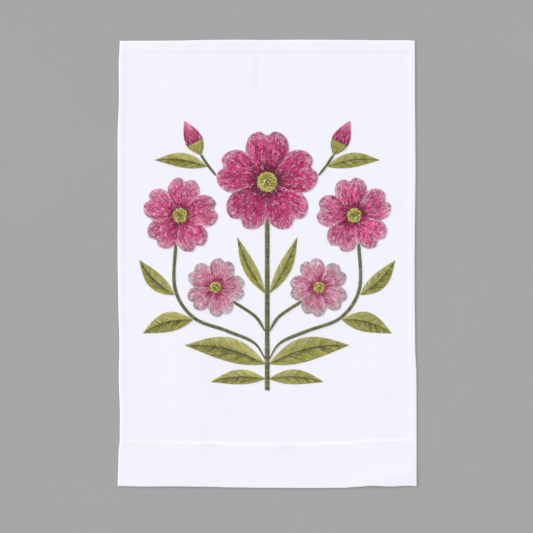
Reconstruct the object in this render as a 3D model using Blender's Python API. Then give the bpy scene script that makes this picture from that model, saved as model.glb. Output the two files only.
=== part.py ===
"""Linen hand towel lying flat, face up, with a spray of blossoms stitched on it.

Metres, +Z up. The origin is under the middle of the towel, on the surface that it lies on.
+Y runs to the towel's top edge, and the deep hem is at -Y. The hems are turned to the underside.
"""

import math
from collections import namedtuple

import bmesh
import bpy

MM = 0.001

# The cloth
WIDTH = 355.6 * MM
LENGTH = 533.8 * MM
SINGLE = 1.0 * MM  # one layer of cloth
DOUBLED = 0.45 * MM  # what a hem adds
TURNED_IN = 0.25 * MM  # what the hem's own raw edge adds, folded inside it
EDGE_WALL = 0.5 * MM  # height of the rounded fold right at the edge
FOLD_ROUND = 1.2 * MM  # how far in the rounding reaches
SIDE_HEM = 5.5 * MM
TOP_HEM = 13.0 * MM
BOTTOM_HEM = 52.5 * MM
TURNED_EDGE = 6.0 * MM  # width of the raw edge folded inside the deep hem
HEM_STEP = 2.0 * MM  # the cloth falls from hem to single cloth over this width
CELL = 12.0 * MM  # usual size of the cloth's cells
LYING = 0.12 * MM  # cloth that would lift less than this lies flat
RIDGE_END = 0.55  # height of a soft ridge at its two ends, as a share of that at its middle
FADE_LOW = 30  # mm over which a pressed fold fades in from its lower end
FADE_HIGH = 8  # mm over which it fades out at its upper end

# The stitching
GAP = 0.3 * MM  # between the cloth and what lies on it
THREAD = 0.45 * MM  # thickness of stitching at an edge
STEM_CROWN = 0.35 * MM
LEAF_CROWN = 0.35 * MM
PETAL_CROWN = 0.4 * MM
EYE_CROWN = 0.55 * MM
CROWN_END = 0.45  # a petal's crown at its foot and rim, as a share of that at its middle
EYE_SHARE = 0.2  # of a blossom's radius
PETALS = 5
CLEFT = 0.3  # how deep the clefts between petals are, as a share of the radius
RIM_POWER = 3.2  # how squarely a petal's rim turns down into the clefts
NOTCH = 0.1  # the dent at the middle of a petal's rim
NOTCH_WIDTH = 0.16  # of half a petal
STALK = 1.6  # width of a leaf's blunt foot, in mm
LEAF_FAT = 0.85  # below 1, a blade is widest before the middle of its length
BUD_FAT = 0.8
THINNING = 1 / 3  # share of a stem's length over which it thins towards its first point

# Cells of each thin solid, across and along it, or around and out from a blossom's middle
RING_CELLS = (PETALS * 10, 2)
EYE_CELLS = (20, 2)
LEAF_CELLS = (4, 8)
CALYX_CELLS = (4, 4)
BUD_CELLS = (4, 6)
STEM_CELLS = (2, 4)  # the second for each stretch between two of its points
WELD = 1e-6

LINEN = ("linen", (0.90, 0.90, 0.95), 0.85)
DEEP_PINK = ("deep_pink_thread", (0.50, 0.05, 0.20), 0.45)
PINK = ("pink_thread", (0.66, 0.13, 0.33), 0.45)
PALE_PINK = ("pale_pink_thread", (0.72, 0.42, 0.50), 0.45)
EYE = ("eye_thread", (0.55, 0.50, 0.14), 0.45)
LEAF = ("leaf_thread", (0.34, 0.34, 0.09), 0.45)
STEM = ("stem_thread", (0.24, 0.25, 0.09), 0.45)

# How far each long edge stands outside the nominal width, in mm, going down from the top edge.
SideRow = namedtuple("SideRow", "down left right")
SIDES = [
    SideRow(0, -1.7, -1.3),
    SideRow(30, -0.5, -1.2),
    SideRow(67, -0.8, -1.1),
    SideRow(115, 0.8, -0.7),
    SideRow(150, 0.8, -0.5),
    SideRow(240, 0.8, -1.3),
    SideRow(262, 0.7, -1.5),
    SideRow(305, 0.1, -1.4),
    SideRow(365, -1.3, -0.9),
    SideRow(400, -0.6, 0.6),
    SideRow(450, -1.9, 0.8),
    SideRow(478, -1.7, 0.8),
    SideRow(498, -0.2, 0.8),
    SideRow(534, 0.7, 0.8),
]

# How far the short edges stand outside the nominal length, and the seam of the deep hem above
# its nominal place, in mm, going across from the middle.
EndRow = namedtuple("EndRow", "across top bottom seam")
ENDS = [
    EndRow(-178, -0.5, -1.5, 0.9),
    EndRow(-148, -0.4, -0.8, 0.6),
    EndRow(-110, -0.2, -1.0, 0.3),
    EndRow(-72, 0.6, -0.5, -0.4),
    EndRow(-43, 0.9, 0.2, -0.8),
    EndRow(-5, 0.6, 0.7, -0.9),
    EndRow(42, 0.9, 0.9, -0.5),
    EndRow(90, 0.7, 0.8, 0.0),
    EndRow(109, 0.5, -0.7, 0.9),
    EndRow(124, 0.3, -1.7, 1.6),
    EndRow(147, 0.2, -0.9, 2.2),
    EndRow(167, 0.1, -1.8, 2.5),
    EndRow(178, -0.3, -1.3, 2.6),
]

# Soft ridges where the cloth lifts off the surface, in mm: from, to, half-width and height.
Ridge = namedtuple("Ridge", "x0 y0 x1 y1 width height")
RIDGES = [
    Ridge(-98, -30, -88, -196, 34, 1.5),
    Ridge(-22, -168, 24, -232, 11, 1.3),
    Ridge(62, -196, 20, -150, 16, 0.8),
    Ridge(112, -262, 172, -250, 13, 1.4),
    Ridge(-120, -246, -72, -266, 12, 0.8),
    Ridge(96, 150, 150, 60, 30, 0.9),
    Ridge(-150, 236, -84, 196, 26, 0.9),
    Ridge(128, -80, 140, -190, 26, 1.0),
]

# The pressed fold down the middle: cloth lifts on both sides of a narrow valley, in mm.
Fold = namedtuple("Fold", "across high low height reach valley")
PRESSED = [
    Fold(-11, 262, 186, 1.0, 22, 3.5),
    Fold(-14, -158, -200, 0.5, 18, 3.5),
]
FOLD_LINES = [-20, -16, -12.5, -9, -4]  # lines of the cloth's grid that run down that valley

Blossom = namedtuple("Blossom", "name x y radius turn thread")
TOP_BLOSSOM = Blossom("top", 0, 98, 62, 90, DEEP_PINK)
SIDE_BLOSSOMS = [
    Blossom("upper", 104, 58, 46, 26, PINK),
    Blossom("lower", 62, -28, 36, 38, PALE_PINK),
]

Leaf = namedtuple("Leaf", "name x0 y0 x1 y1 width bend")
LEAVES = [
    Leaf("foot", 3.6, -137, 68, -141, 18, 4),
    Leaf("low", 3.8, -119, 99, -97, 29, 7),
    Leaf("outer_low", 90.2, -66.6, 149, -83, 24, 5),
    Leaf("outer_high", 113.5, -35, 153, 5, 20, -4),
    Leaf("inner", 4.3, -33, 36, 33, 16, -3),
    Leaf("crown", 74.6, 117, 135, 124, 18, 4),
]

# A stem runs smoothly through its points, and thins towards its first one.
Stem = namedtuple("Stem", "name points width first")
MAIN_STEM = Stem("main", [(0, -151), (0, -100), (0, -25), (0, 48.5)], 6.4, 1.0)
SIDE_STEMS = [
    Stem("outer", [(3.9, -112), (16, -94), (48, -80), (88, -64), (110, -30), (109.4, 20.9)], 4.6, 0.15),
    Stem("inner", [(3.9, -79), (14, -63), (38.8, -46.2)], 4.2, 0.15),
    Stem("bud", [(62.4, 107), (71, 118), (79, 130)], 3.6, 0.7),
]

Bud = namedtuple("Bud", "x0 y0 x1 y1 width cup")
BUD = Bud(79.3, 130.5, 99, 171, 22, 0.36)  # cup is the share of its length in the green calyx


def smooth(share):
    """0 below 0, 1 above 1 and a smooth rise between."""
    share = min(max(share, 0.0), 1.0)
    return share * share * (3 - 2 * share)


def between(rows, place, column):
    """A column of a table at a place along the table's first column, in metres."""
    where = place / MM
    for low, high in zip(rows, rows[1:]):
        if where <= high[0]:
            share = smooth((where - low[0]) / (high[0] - low[0]))
            a, b = getattr(low, column), getattr(high, column)
            return (a + (b - a) * share) * MM
    return getattr(rows[-1], column) * MM


def lift(x, y):
    """How far the underside of the cloth stands off the surface that it lies on."""
    total = 0.0
    for row in RIDGES:
        ax, ay = row.x0 * MM, row.y0 * MM
        dx, dy = row.x1 * MM - ax, row.y1 * MM - ay
        share = ((x - ax) * dx + (y - ay) * dy) / (dx * dx + dy * dy)
        share = min(max(share, 0.0), 1.0)
        away = math.hypot(x - ax - share * dx, y - ay - share * dy) / (row.width * MM)
        swell = RIDGE_END + (1 - RIDGE_END) * math.sin(math.pi * share)
        total += row.height * MM * math.exp(-away * away) * swell
    for row in PRESSED:
        away = abs(x - row.across * MM) / MM
        along = smooth((y / MM - row.low) / FADE_LOW) * smooth((row.high - y / MM) / FADE_HIGH)
        flank = math.exp(-((away / row.reach) ** 2)) - math.exp(-((away / row.valley) ** 2))
        total += row.height * MM * flank * along
    return max(total - LYING, 0.0)


def stations(length, near, far, between_them=()):
    """Where the grid's lines cross one side of the cloth.

    near and far hold the lines wanted at its two ends, each measured from that end. Evenly
    spaced ones fill the stretch between, and give way to those in between_them.
    """
    first, last = near[-1], length - far[-1]
    count = round((last - first) / CELL)
    even = [first + (last - first) * i / count for i in range(1, count)]
    kept = [place for place in even if all(abs(place - line) > CELL / 2 for line in between_them)]
    return sorted([*near, *kept, *between_them, *(length - place for place in far)])


EDGE_LINES = [0.0, FOLD_ROUND]
SIDE_LINES = EDGE_LINES + [SIDE_HEM, SIDE_HEM + HEM_STEP]
TOP_LINES = EDGE_LINES + [TOP_HEM / 2, TOP_HEM, TOP_HEM + HEM_STEP]
SEAM_FOOT = BOTTOM_HEM - TURNED_EDGE - HEM_STEP
BOTTOM_LINES = EDGE_LINES + [SEAM_FOOT * share for share in (0.2, 0.45, 0.7, 1.0)]
BOTTOM_LINES += [BOTTOM_HEM - TURNED_EDGE, BOTTOM_HEM, BOTTOM_HEM + HEM_STEP]
ACROSS = stations(WIDTH, SIDE_LINES, SIDE_LINES, [WIDTH / 2 + line * MM for line in FOLD_LINES])
ALONG = stations(LENGTH, BOTTOM_LINES, TOP_LINES)


def cloth_place(across, along):
    """Where a point of the flat cut lies, given its distances from the left and bottom edges."""
    x, y = across - WIDTH / 2, along - LENGTH / 2
    down = LENGTH / 2 - y
    side = between(SIDES, down, "right" if x > 0 else "left")
    end = between(ENDS, x, "top" if y > 0 else "bottom")
    near_seam = math.exp(-(((along - BOTTOM_HEM) / (BOTTOM_HEM * 0.4)) ** 2))
    return (
        x * (1 + side / (WIDTH / 2)),
        y * (1 + end / (LENGTH / 2)) + between(ENDS, x, "seam") * near_seam,
    )


def thickness(across, along):
    """Thickness of the cloth: single, doubled in a hem, and thicker over the turned-in edge."""
    side = min(across, WIDTH - across)
    top = LENGTH - along
    hem = max(
        1 - smooth((side - SIDE_HEM) / HEM_STEP),
        1 - smooth((top - TOP_HEM) / HEM_STEP),
        1 - smooth((along - BOTTOM_HEM) / HEM_STEP),
    )
    turned = smooth((along - BOTTOM_HEM + TURNED_EDGE + HEM_STEP) / HEM_STEP)
    turned *= 1 - smooth((along - BOTTOM_HEM) / HEM_STEP)
    return SINGLE + DOUBLED * hem + TURNED_IN * turned


def cloth_faces(across, along):
    """Heights of the cloth's underside and top."""
    x, y = cloth_place(across, along)
    low, thick = lift(x, y), thickness(across, along)
    edge = min(across, WIDTH - across, along, LENGTH - along)
    if edge < FOLD_ROUND / 2:
        return low + (thick - EDGE_WALL) / 2, low + (thick + EDGE_WALL) / 2
    return low, low + thick


def base_height(x, y):
    """Height of the underside of stitching at a place inside the hems."""
    return lift(x, y) + SINGLE + GAP


def material(finish):
    """The finish's material, made once."""
    name, colour, roughness = finish
    found = bpy.data.materials.get(name)
    if found:
        return found
    made = bpy.data.materials.new(name)
    made.use_nodes = True
    shader = made.node_tree.nodes["Principled BSDF"]
    shader.inputs["Base Color"].default_value = (*colour, 1.0)
    shader.inputs["Roughness"].default_value = roughness
    shader.inputs["Metallic"].default_value = 0.0
    return made


def slab(name, cells, place, heights, finish):
    """A thin closed solid on a grid of cells, over which u and v run from 0 to 1.

    place(u, v) gives x and y, and heights(x, y, u, v) the underside and the top there. Points
    that place puts together, at a pointed end or where a ring closes, are joined first.
    """
    cells_u, cells_v = cells
    bm = bmesh.new()
    bmesh.ops.create_grid(bm, x_segments=cells_u, y_segments=cells_v, size=1.0)
    at_u = bm.verts.layers.float.new("u")
    at_v = bm.verts.layers.float.new("v")
    for vert in bm.verts:
        u = round((vert.co.x + 1) / 2 * cells_u) / cells_u
        v = round((vert.co.y + 1) / 2 * cells_v) / cells_v
        vert[at_u], vert[at_v] = u, v
        vert.co = (*place(u, v), 0.0)
    bmesh.ops.remove_doubles(bm, verts=bm.verts, dist=WELD)
    under = list(bm.verts)
    made = bmesh.ops.extrude_face_region(bm, geom=bm.faces[:])
    over = [item for item in made["geom"] if isinstance(item, bmesh.types.BMVert)]
    for side, verts in enumerate((under, over)):
        for vert in verts:
            vert.co.z = heights(vert.co.x, vert.co.y, vert[at_u], vert[at_v])[side]
    bmesh.ops.recalc_face_normals(bm, faces=bm.faces)
    mesh = bpy.data.meshes.new(name)
    bm.to_mesh(mesh)
    bm.free()
    mesh.shade_smooth()
    mesh.set_sharp_from_angle(angle=math.radians(40))
    mesh.materials.append(material(finish))
    made = bpy.data.objects.new(name, mesh)
    bpy.data.collections["hand_towel"].objects.link(made)
    return made


def build_cloth():
    """The towel's cloth with its hems, one solid."""
    columns, rows = len(ACROSS) - 1, len(ALONG) - 1

    def cut(u, v):
        return ACROSS[round(u * columns)], ALONG[round(v * rows)]

    slab(
        "towel_cloth",
        (columns, rows),
        lambda u, v: cloth_place(*cut(u, v)),
        lambda x, y, u, v: cloth_faces(*cut(u, v)),
        LINEN,
    )


def petal_share(angle, turn):
    """Where an angle lies across its petal, from -1 at one cleft to 1 at the next."""
    pitch = 2 * math.pi / PETALS
    return ((angle - turn + pitch / 2) % pitch - pitch / 2) / (pitch / 2)


def petal_rim(angle, turn):
    """Radius of a blossom's outline as a share of its full radius."""
    share = petal_share(angle, turn)
    return 1 - CLEFT * abs(share) ** RIM_POWER - NOTCH * math.exp(-((share / NOTCH_WIDTH) ** 2))


def build_blossom(row, side, label):
    """A ring of five notched petals and the round eye inside it."""
    x0, y0, radius = side * row.x * MM, row.y * MM, row.radius * MM
    turn = math.radians(row.turn if side >= 0 else 180 - row.turn)
    eye = radius * EYE_SHARE

    def around(u):
        return turn + (u + 0.5 / PETALS) * 2 * math.pi

    def ring(u, v):
        angle = around(u)
        reach = eye + GAP + (radius * petal_rim(angle, turn) - eye - GAP) * v
        return x0 + reach * math.cos(angle), y0 + reach * math.sin(angle)

    def petals(x, y, u, v):
        low = base_height(x, y)
        crown = 1 - petal_share(around(u), turn) ** 2
        crown *= CROWN_END + (1 - CROWN_END) * math.sin(math.pi * v)
        return low, low + THREAD + PETAL_CROWN * crown

    def disc(u, v):
        angle = u * 2 * math.pi
        return x0 + eye * v * math.cos(angle), y0 + eye * v * math.sin(angle)

    def dome(x, y, u, v):
        low = base_height(x, y)
        return low, low + THREAD + EYE_CROWN * (1 - v * v)

    slab(f"blossom_{label}", RING_CELLS, ring, petals, row.thread)
    slab(f"eye_{label}", EYE_CELLS, disc, dome, EYE)


def smooth_path(points, share):
    """A point and its direction on a smooth curve through the points, in mm."""
    spans = len(points) - 1
    span = min(int(share * spans), spans - 1)
    t = share * spans - span
    before, after = points[max(span - 1, 0)], points[min(span + 2, spans)]
    p1, p2 = points[span], points[span + 1]
    place, way = [], []
    for a, b, c, d in zip(before, p1, p2, after):
        m1, m2 = (c - a) / 2, (d - b) / 2
        place.append(
            (2 * t**3 - 3 * t**2 + 1) * b
            + (t**3 - 2 * t**2 + t) * m1
            + (3 * t**2 - 2 * t**3) * c
            + (t**3 - t**2) * m2
        )
        way.append((6 * t**2 - 6 * t) * (b - c) + (3 * t**2 - 4 * t + 1) * m1 + (3 * t**2 - 2 * t) * m2)
    size = math.hypot(*way)
    return place, (way[0] / size, way[1] / size)


def build_stem(row, side, label):
    """A raised line of stitching that follows its points."""
    across, each = STEM_CELLS
    cells = (across, each * (len(row.points) - 1))

    def place(u, v):
        (x, y), (wx, wy) = smooth_path(row.points, v)
        half = row.width / 2 * (row.first + (1 - row.first) * smooth(v / THINNING))
        off = half * (2 * u - 1)
        return side * (x - wy * off) * MM, (y + wx * off) * MM

    def heights(x, y, u, v):
        low = base_height(x, y)
        return low, low + THREAD + STEM_CROWN * (1 - (2 * u - 1) ** 2)

    slab(f"stem_{label}", cells, place, heights, STEM)


def blade(row, side, fat, start=0.0, end=1.0):
    """place(u, v) for a blade with a blunt foot and a pointed tip, from start to end of its length."""
    dx, dy = row.x1 - row.x0, row.y1 - row.y0
    length = math.hypot(dx, dy)
    bend = getattr(row, "bend", 0)

    def place(u, v):
        share = start + (end - start) * v
        foot = STALK / 2 * (1 - smooth(share * 2))
        half = max(row.width / 2 * math.sin(math.pi * share**fat), foot)
        off = half * (2 * u - 1) + bend * math.sin(math.pi * share)
        x = row.x0 + dx * share - dy / length * off
        y = row.y0 + dy * share + dx / length * off
        return side * x * MM, y * MM

    return place


def build_leaf(row, side, label):
    """A pointed leaf of two raised halves with a groove down its middle."""

    def heights(x, y, u, v):
        low = base_height(x, y)
        halves = math.sin(2 * math.pi * u) ** 2 * math.sin(math.pi * v)
        return low, low + THREAD + LEAF_CROWN * halves

    slab(f"leaf_{label}", LEAF_CELLS, blade(row, side, LEAF_FAT), heights, LEAF)


def build_bud(side, label):
    """A closed bud in a green calyx."""

    def crown(x, y, u, v):
        low = base_height(x, y)
        return low, low + THREAD + PETAL_CROWN * (1 - (2 * u - 1) ** 2)

    clear = GAP / MM / math.hypot(BUD.x1 - BUD.x0, BUD.y1 - BUD.y0)
    slab(f"calyx_{label}", CALYX_CELLS, blade(BUD, side, BUD_FAT, end=BUD.cup), crown, LEAF)
    slab(f"bud_{label}", BUD_CELLS, blade(BUD, side, BUD_FAT, start=BUD.cup + clear), crown, PINK)


def build_towel():
    """The cloth and all that is stitched on it."""
    for obj in list(bpy.data.objects):
        bpy.data.objects.remove(obj)
    group = bpy.data.collections.new("hand_towel")
    bpy.context.scene.collection.children.link(group)
    build_cloth()
    build_blossom(TOP_BLOSSOM, 0, TOP_BLOSSOM.name)
    build_stem(MAIN_STEM, 1, MAIN_STEM.name)
    for side, hand in ((-1, "left"), (1, "right")):
        for row in SIDE_BLOSSOMS:
            build_blossom(row, side, f"{row.name}_{hand}")
        for row in SIDE_STEMS:
            build_stem(row, side, f"{row.name}_{hand}")
        for row in LEAVES:
            build_leaf(row, side, f"{row.name}_{hand}")
        build_bud(side, hand)


build_towel()
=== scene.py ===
"""Looks of a white linen hand towel: its cloth, its hems and the spray of blossoms stitched on it.

Metres, +Z up. The towel lies face up with its middle over the origin; +Y runs to its top edge
and the deep hem is at -Y. Rows of the tables below are in millimetres, as a maker would note them.
"""

import logging
import math
import zlib
from collections.abc import Sequence
from dataclasses import dataclass, field
from enum import Enum
from typing import Any, NamedTuple

import bpy
import numpy as np
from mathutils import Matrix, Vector


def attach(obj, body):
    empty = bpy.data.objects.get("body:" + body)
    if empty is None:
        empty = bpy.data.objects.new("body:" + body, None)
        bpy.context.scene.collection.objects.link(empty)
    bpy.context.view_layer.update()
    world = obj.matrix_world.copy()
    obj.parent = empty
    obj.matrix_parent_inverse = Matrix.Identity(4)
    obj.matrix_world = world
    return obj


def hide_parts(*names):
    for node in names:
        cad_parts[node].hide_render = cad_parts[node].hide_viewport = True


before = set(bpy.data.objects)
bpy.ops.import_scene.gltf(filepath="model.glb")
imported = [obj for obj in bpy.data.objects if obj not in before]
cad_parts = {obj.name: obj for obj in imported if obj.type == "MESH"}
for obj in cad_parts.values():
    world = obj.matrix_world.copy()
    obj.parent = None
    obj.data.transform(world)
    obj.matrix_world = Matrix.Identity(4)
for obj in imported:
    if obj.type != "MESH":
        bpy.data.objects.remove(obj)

MM = 0.001
TURN = 2 * math.pi
Array = np.ndarray
Rng = np.random.Generator
Colour = tuple[float, float, float]
Pair = tuple[Array, Array]
Places = tuple[float, ...]
Socket = bpy.types.NodeSocket
Material = bpy.types.Material
Ends = tuple[Array, Array, Array, Array]  # u and v of stitches' starts and ends
Colours = tuple[Array, Array, Array]  # shade, fleck and tone of stitches
log = logging.getLogger("hand_towel")

WHITE = 255.0  # a full share of a screen's red, green or blue
KNEE = 0.04045  # below this a screen's curve is a line
LINE_SLOPE = 12.92
CURVE_OFFSET = 0.055
CURVE_POWER = 2.4
END_BAND = 0.2  # share of a closed tube's map that each of its ends takes
CELL_MARGIN = 0.06  # share of its cell of the map that a tube leaves free on each side


class Hand(Enum):
    """Which half of the spray a motif stands in, with the sign of its x."""

    LEFT = -1
    MIDDLE = 0
    RIGHT = 1

    @property
    def mirror(self) -> int:
        """-1 on the left, where a motif is turned over, and 1 elsewhere."""
        return self.value or 1

    def label(self, name: str) -> str:
        """A motif's name with this hand after it, or alone in the middle."""
        return name if self is Hand.MIDDLE else f"{name}_{self.name.lower()}"


def dye(red: float, green: float, blue: float) -> Colour:
    """Linear values of a colour noted as it looks on a screen, from 0 to 255.

    Over the knee a screen's curve is ((share + offset) / (1 + offset))^power.

    Args:
        red: Its red.
        green: Its green.
        blue: Its blue.

    Returns:
        The three linear values.
    """
    shares = (red / WHITE, green / WHITE, blue / WHITE)
    curve = [((share + CURVE_OFFSET) / (1 + CURVE_OFFSET)) ** CURVE_POWER for share in shares]
    return tuple(share / LINE_SLOPE if share <= KNEE else over for share, over in zip(shares, curve))


def smooth(share: Array) -> Array:
    """0 below 0, 1 above 1, and 3s^2 - 2s^3 between."""
    share = np.clip(share, 0.0, 1.0)
    return share * share * (3 - 2 * share)


def bell(away: Array, width: float) -> Array:
    """1 in the middle, and less the further away: exp(-(away / width)^2)."""
    return np.exp(-((away / width) ** 2))


def aside(u: Array) -> Array:
    """How far a place lies from the middle line of a motif: 0 on it, and 1 at either edge."""
    return np.abs(2 * u - 1)


def rounded(u: Array) -> Array:
    """A round back across a motif, 1 - (2u - 1)^2."""
    return 1 - (2 * u - 1) ** 2


def between(places: Sequence[float], values: Sequence[float], at: Array) -> Array:
    """A table's value at each place, with a smooth step from one row to the next.

    Args:
        places: The rows' places, rising.
        values: The rows' values.
        at: Where the values are wanted.

    Returns:
        One value for each place wanted.
    """
    rows = np.arange(len(places))
    row = np.interp(at, places, rows)
    low = np.minimum(np.floor(row).astype(int), len(places) - 2)
    values = np.asarray(values, float)
    return values[low] + (values[low + 1] - values[low]) * smooth(row - low)


def draws(name: str) -> Rng:
    """The random numbers of one piece, the same in each run."""
    return np.random.default_rng(zlib.crc32(name.encode()))


def runs(rng: Rng, count: int, each: float) -> Array:
    """A random number about 0 for each stitch in turn, the same through a run of each neighbours or so."""
    run = np.cumsum(rng.random(count) < 1 / each)
    return rng.normal(0.0, 1.0, run[-1] + 1)[run]


def flecks(rng: Rng, share: Any, count: int, faint: float = 0.6, full: float = 1.0) -> Array:
    """0 for most stitches, and for a random share of them how pale they are, from faint to full."""
    return (rng.random(count) < share) * rng.uniform(faint, full, count)


# Shaders


class Signal:
    """A number that varies over a surface, for use in ordinary Python expressions."""

    def __init__(self, bench: "Bench", socket: Socket) -> None:
        """Wraps a node's output socket on its bench."""
        self.bench = bench
        self.socket = socket

    def __add__(self, other: "Signal | float") -> "Signal":
        """The sum of the two."""
        return self.bench.maths("ADD", self, other)

    def __sub__(self, other: "Signal | float") -> "Signal":
        """This less the other."""
        return self.bench.maths("SUBTRACT", self, other)

    def __rsub__(self, other: float) -> "Signal":
        """The other less this."""
        return self.bench.maths("SUBTRACT", other, self)

    def __mul__(self, other: "Signal | float") -> "Signal":
        """The product of the two."""
        return self.bench.maths("MULTIPLY", self, other)

    __radd__ = __add__

    def sin(self) -> "Signal":
        """The sine of this angle."""
        return self.bench.maths("SINE", self)


class Bench:
    """The nodes of one material, round its Principled BSDF."""

    def __init__(self, name: str) -> None:
        """Starts a material of that name."""
        self.material = bpy.data.materials.new(name)
        self.material.use_nodes = True
        self.tree = self.material.node_tree
        self.shader = self.tree.nodes["Principled BSDF"]

    def node(self, kind: str, settings: dict[str, Any] | None = None, sockets: dict | None = None) -> Any:
        """Adds a node.

        Args:
            kind: The node's type.
            settings: Its properties, set before its sockets; "stops" are a colour ramp's.
            sockets: A value, a Signal or an output socket for each of its inputs, by name or index.

        Returns:
            The node.
        """
        made = self.tree.nodes.new(kind)
        for name, value in (settings or {}).items():
            if name == "stops":
                self.set_stops(made.color_ramp, value)
            else:
                setattr(made, name, value)
        self.feed(made, sockets or {})
        return made

    def feed(self, node: Any, sockets: dict) -> None:
        """Gives a node's inputs their values or links.

        Args:
            node: The node.
            sockets: A value, a Signal or an output socket for each input, by name or index.
        """
        for name, value in sockets.items():
            if isinstance(value, Signal):
                value = value.socket
            if isinstance(value, Socket):
                self.tree.links.new(value, node.inputs[name])
            else:
                node.inputs[name].default_value = value

    def set_stops(self, ramp: bpy.types.ColorRamp, stops: Sequence[tuple[float, Colour]]) -> None:
        """Gives a colour ramp its stops.

        Args:
            ramp: The ramp, with its first two stops.
            stops: For each stop a place from 0 to 1 and a colour.
        """
        while len(ramp.elements) < len(stops):
            ramp.elements.new(1.0)
        for element, (place, colour) in zip(ramp.elements, stops):
            element.position = place
            element.color = (*colour, 1.0)

    def maths(self, operation: str, *values: "Signal | float") -> Signal:
        """The result of a Math node on one or two values."""
        made = self.node("ShaderNodeMath", {"operation": operation}, dict(enumerate(values)))
        return Signal(self, made.outputs[0])

    def mark(self, name: str) -> Signal:
        """A number that the piece's points carry under that name."""
        found = self.node("ShaderNodeAttribute", {"attribute_name": name})
        return Signal(self, found.outputs["Fac"])

    def place(self) -> Socket:
        """Where a point of the surface is on the piece, in metres."""
        return self.node("ShaderNodeTexCoord").outputs["Object"]

    def axes(self, vector: Socket) -> tuple[Signal, Signal, Signal]:
        """The three numbers of a vector."""
        split = self.node("ShaderNodeSeparateXYZ", {}, {"Vector": vector})
        return tuple(Signal(self, out) for out in split.outputs)

    def noise(self, place: Any, grain: Sequence[float], detail: float, roughness: float = 0.5) -> Signal:
        """Soft random variation.

        Args:
            place: The socket of the places.
            grain: How many patches a metre there are along each axis.
            detail: How many finer layers it has.
            roughness: How strong those are.

        Returns:
            A number about 0, most of it from -0.5 to 0.5.
        """
        scaled = self.node("ShaderNodeVectorMath", {"operation": "MULTIPLY"}, {0: place, 1: grain})
        sockets = {"Vector": scaled.outputs[0], "Scale": 1.0, "Detail": detail, "Roughness": roughness}
        return Signal(self, self.node("ShaderNodeTexNoise", {}, sockets).outputs["Fac"]) - 0.5

    def twisted(self, length: float, slant: float) -> Signal:
        """A thread's plies, sin^2 ridges: from one's length, and its slant across the thread in radians."""
        turns = (self.mark("along") * (math.pi / length) + self.mark("across") * slant).sin()
        return turns * turns

    def mixed(self, share: Signal, first: Any, second: Any) -> Socket:
        """A colour between two.

        Args:
            share: 0 for the first colour, 1 for the second.
            first: A colour or an output socket.
            second: Another.

        Returns:
            The mixed colour's socket.
        """
        ends = [(*end, 1.0) if isinstance(end, tuple) else end for end in (first, second)]
        sockets = {"Factor": share, 6: ends[0], 7: ends[1]}
        return self.node("ShaderNodeMix", {"data_type": "RGBA"}, sockets).outputs[2]

    def scaled(self, colour: Socket, by: Signal) -> Socket:
        """A colour made lighter or darker."""
        return self.node("ShaderNodeVectorMath", {"operation": "SCALE"}, {0: colour, "Scale": by}).outputs[0]

    def bump(self, height: Signal, depth: float, strength: float) -> Socket:
        """A surface raised by height, a number from 0 to 1, times depth in metres."""
        sockets = {"Height": height, "Distance": depth, "Strength": strength}
        return self.node("ShaderNodeBump", {}, sockets).outputs["Normal"]

    def finish(self, varying: dict, fixed: dict) -> Material:
        """Sets the shader's inputs.

        Args:
            varying: Those that vary over the surface.
            fixed: Those that are the same all over.

        Returns:
            The material.
        """
        self.feed(self.shader, varying)
        self.feed(self.shader, fixed)
        return self.material


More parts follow.
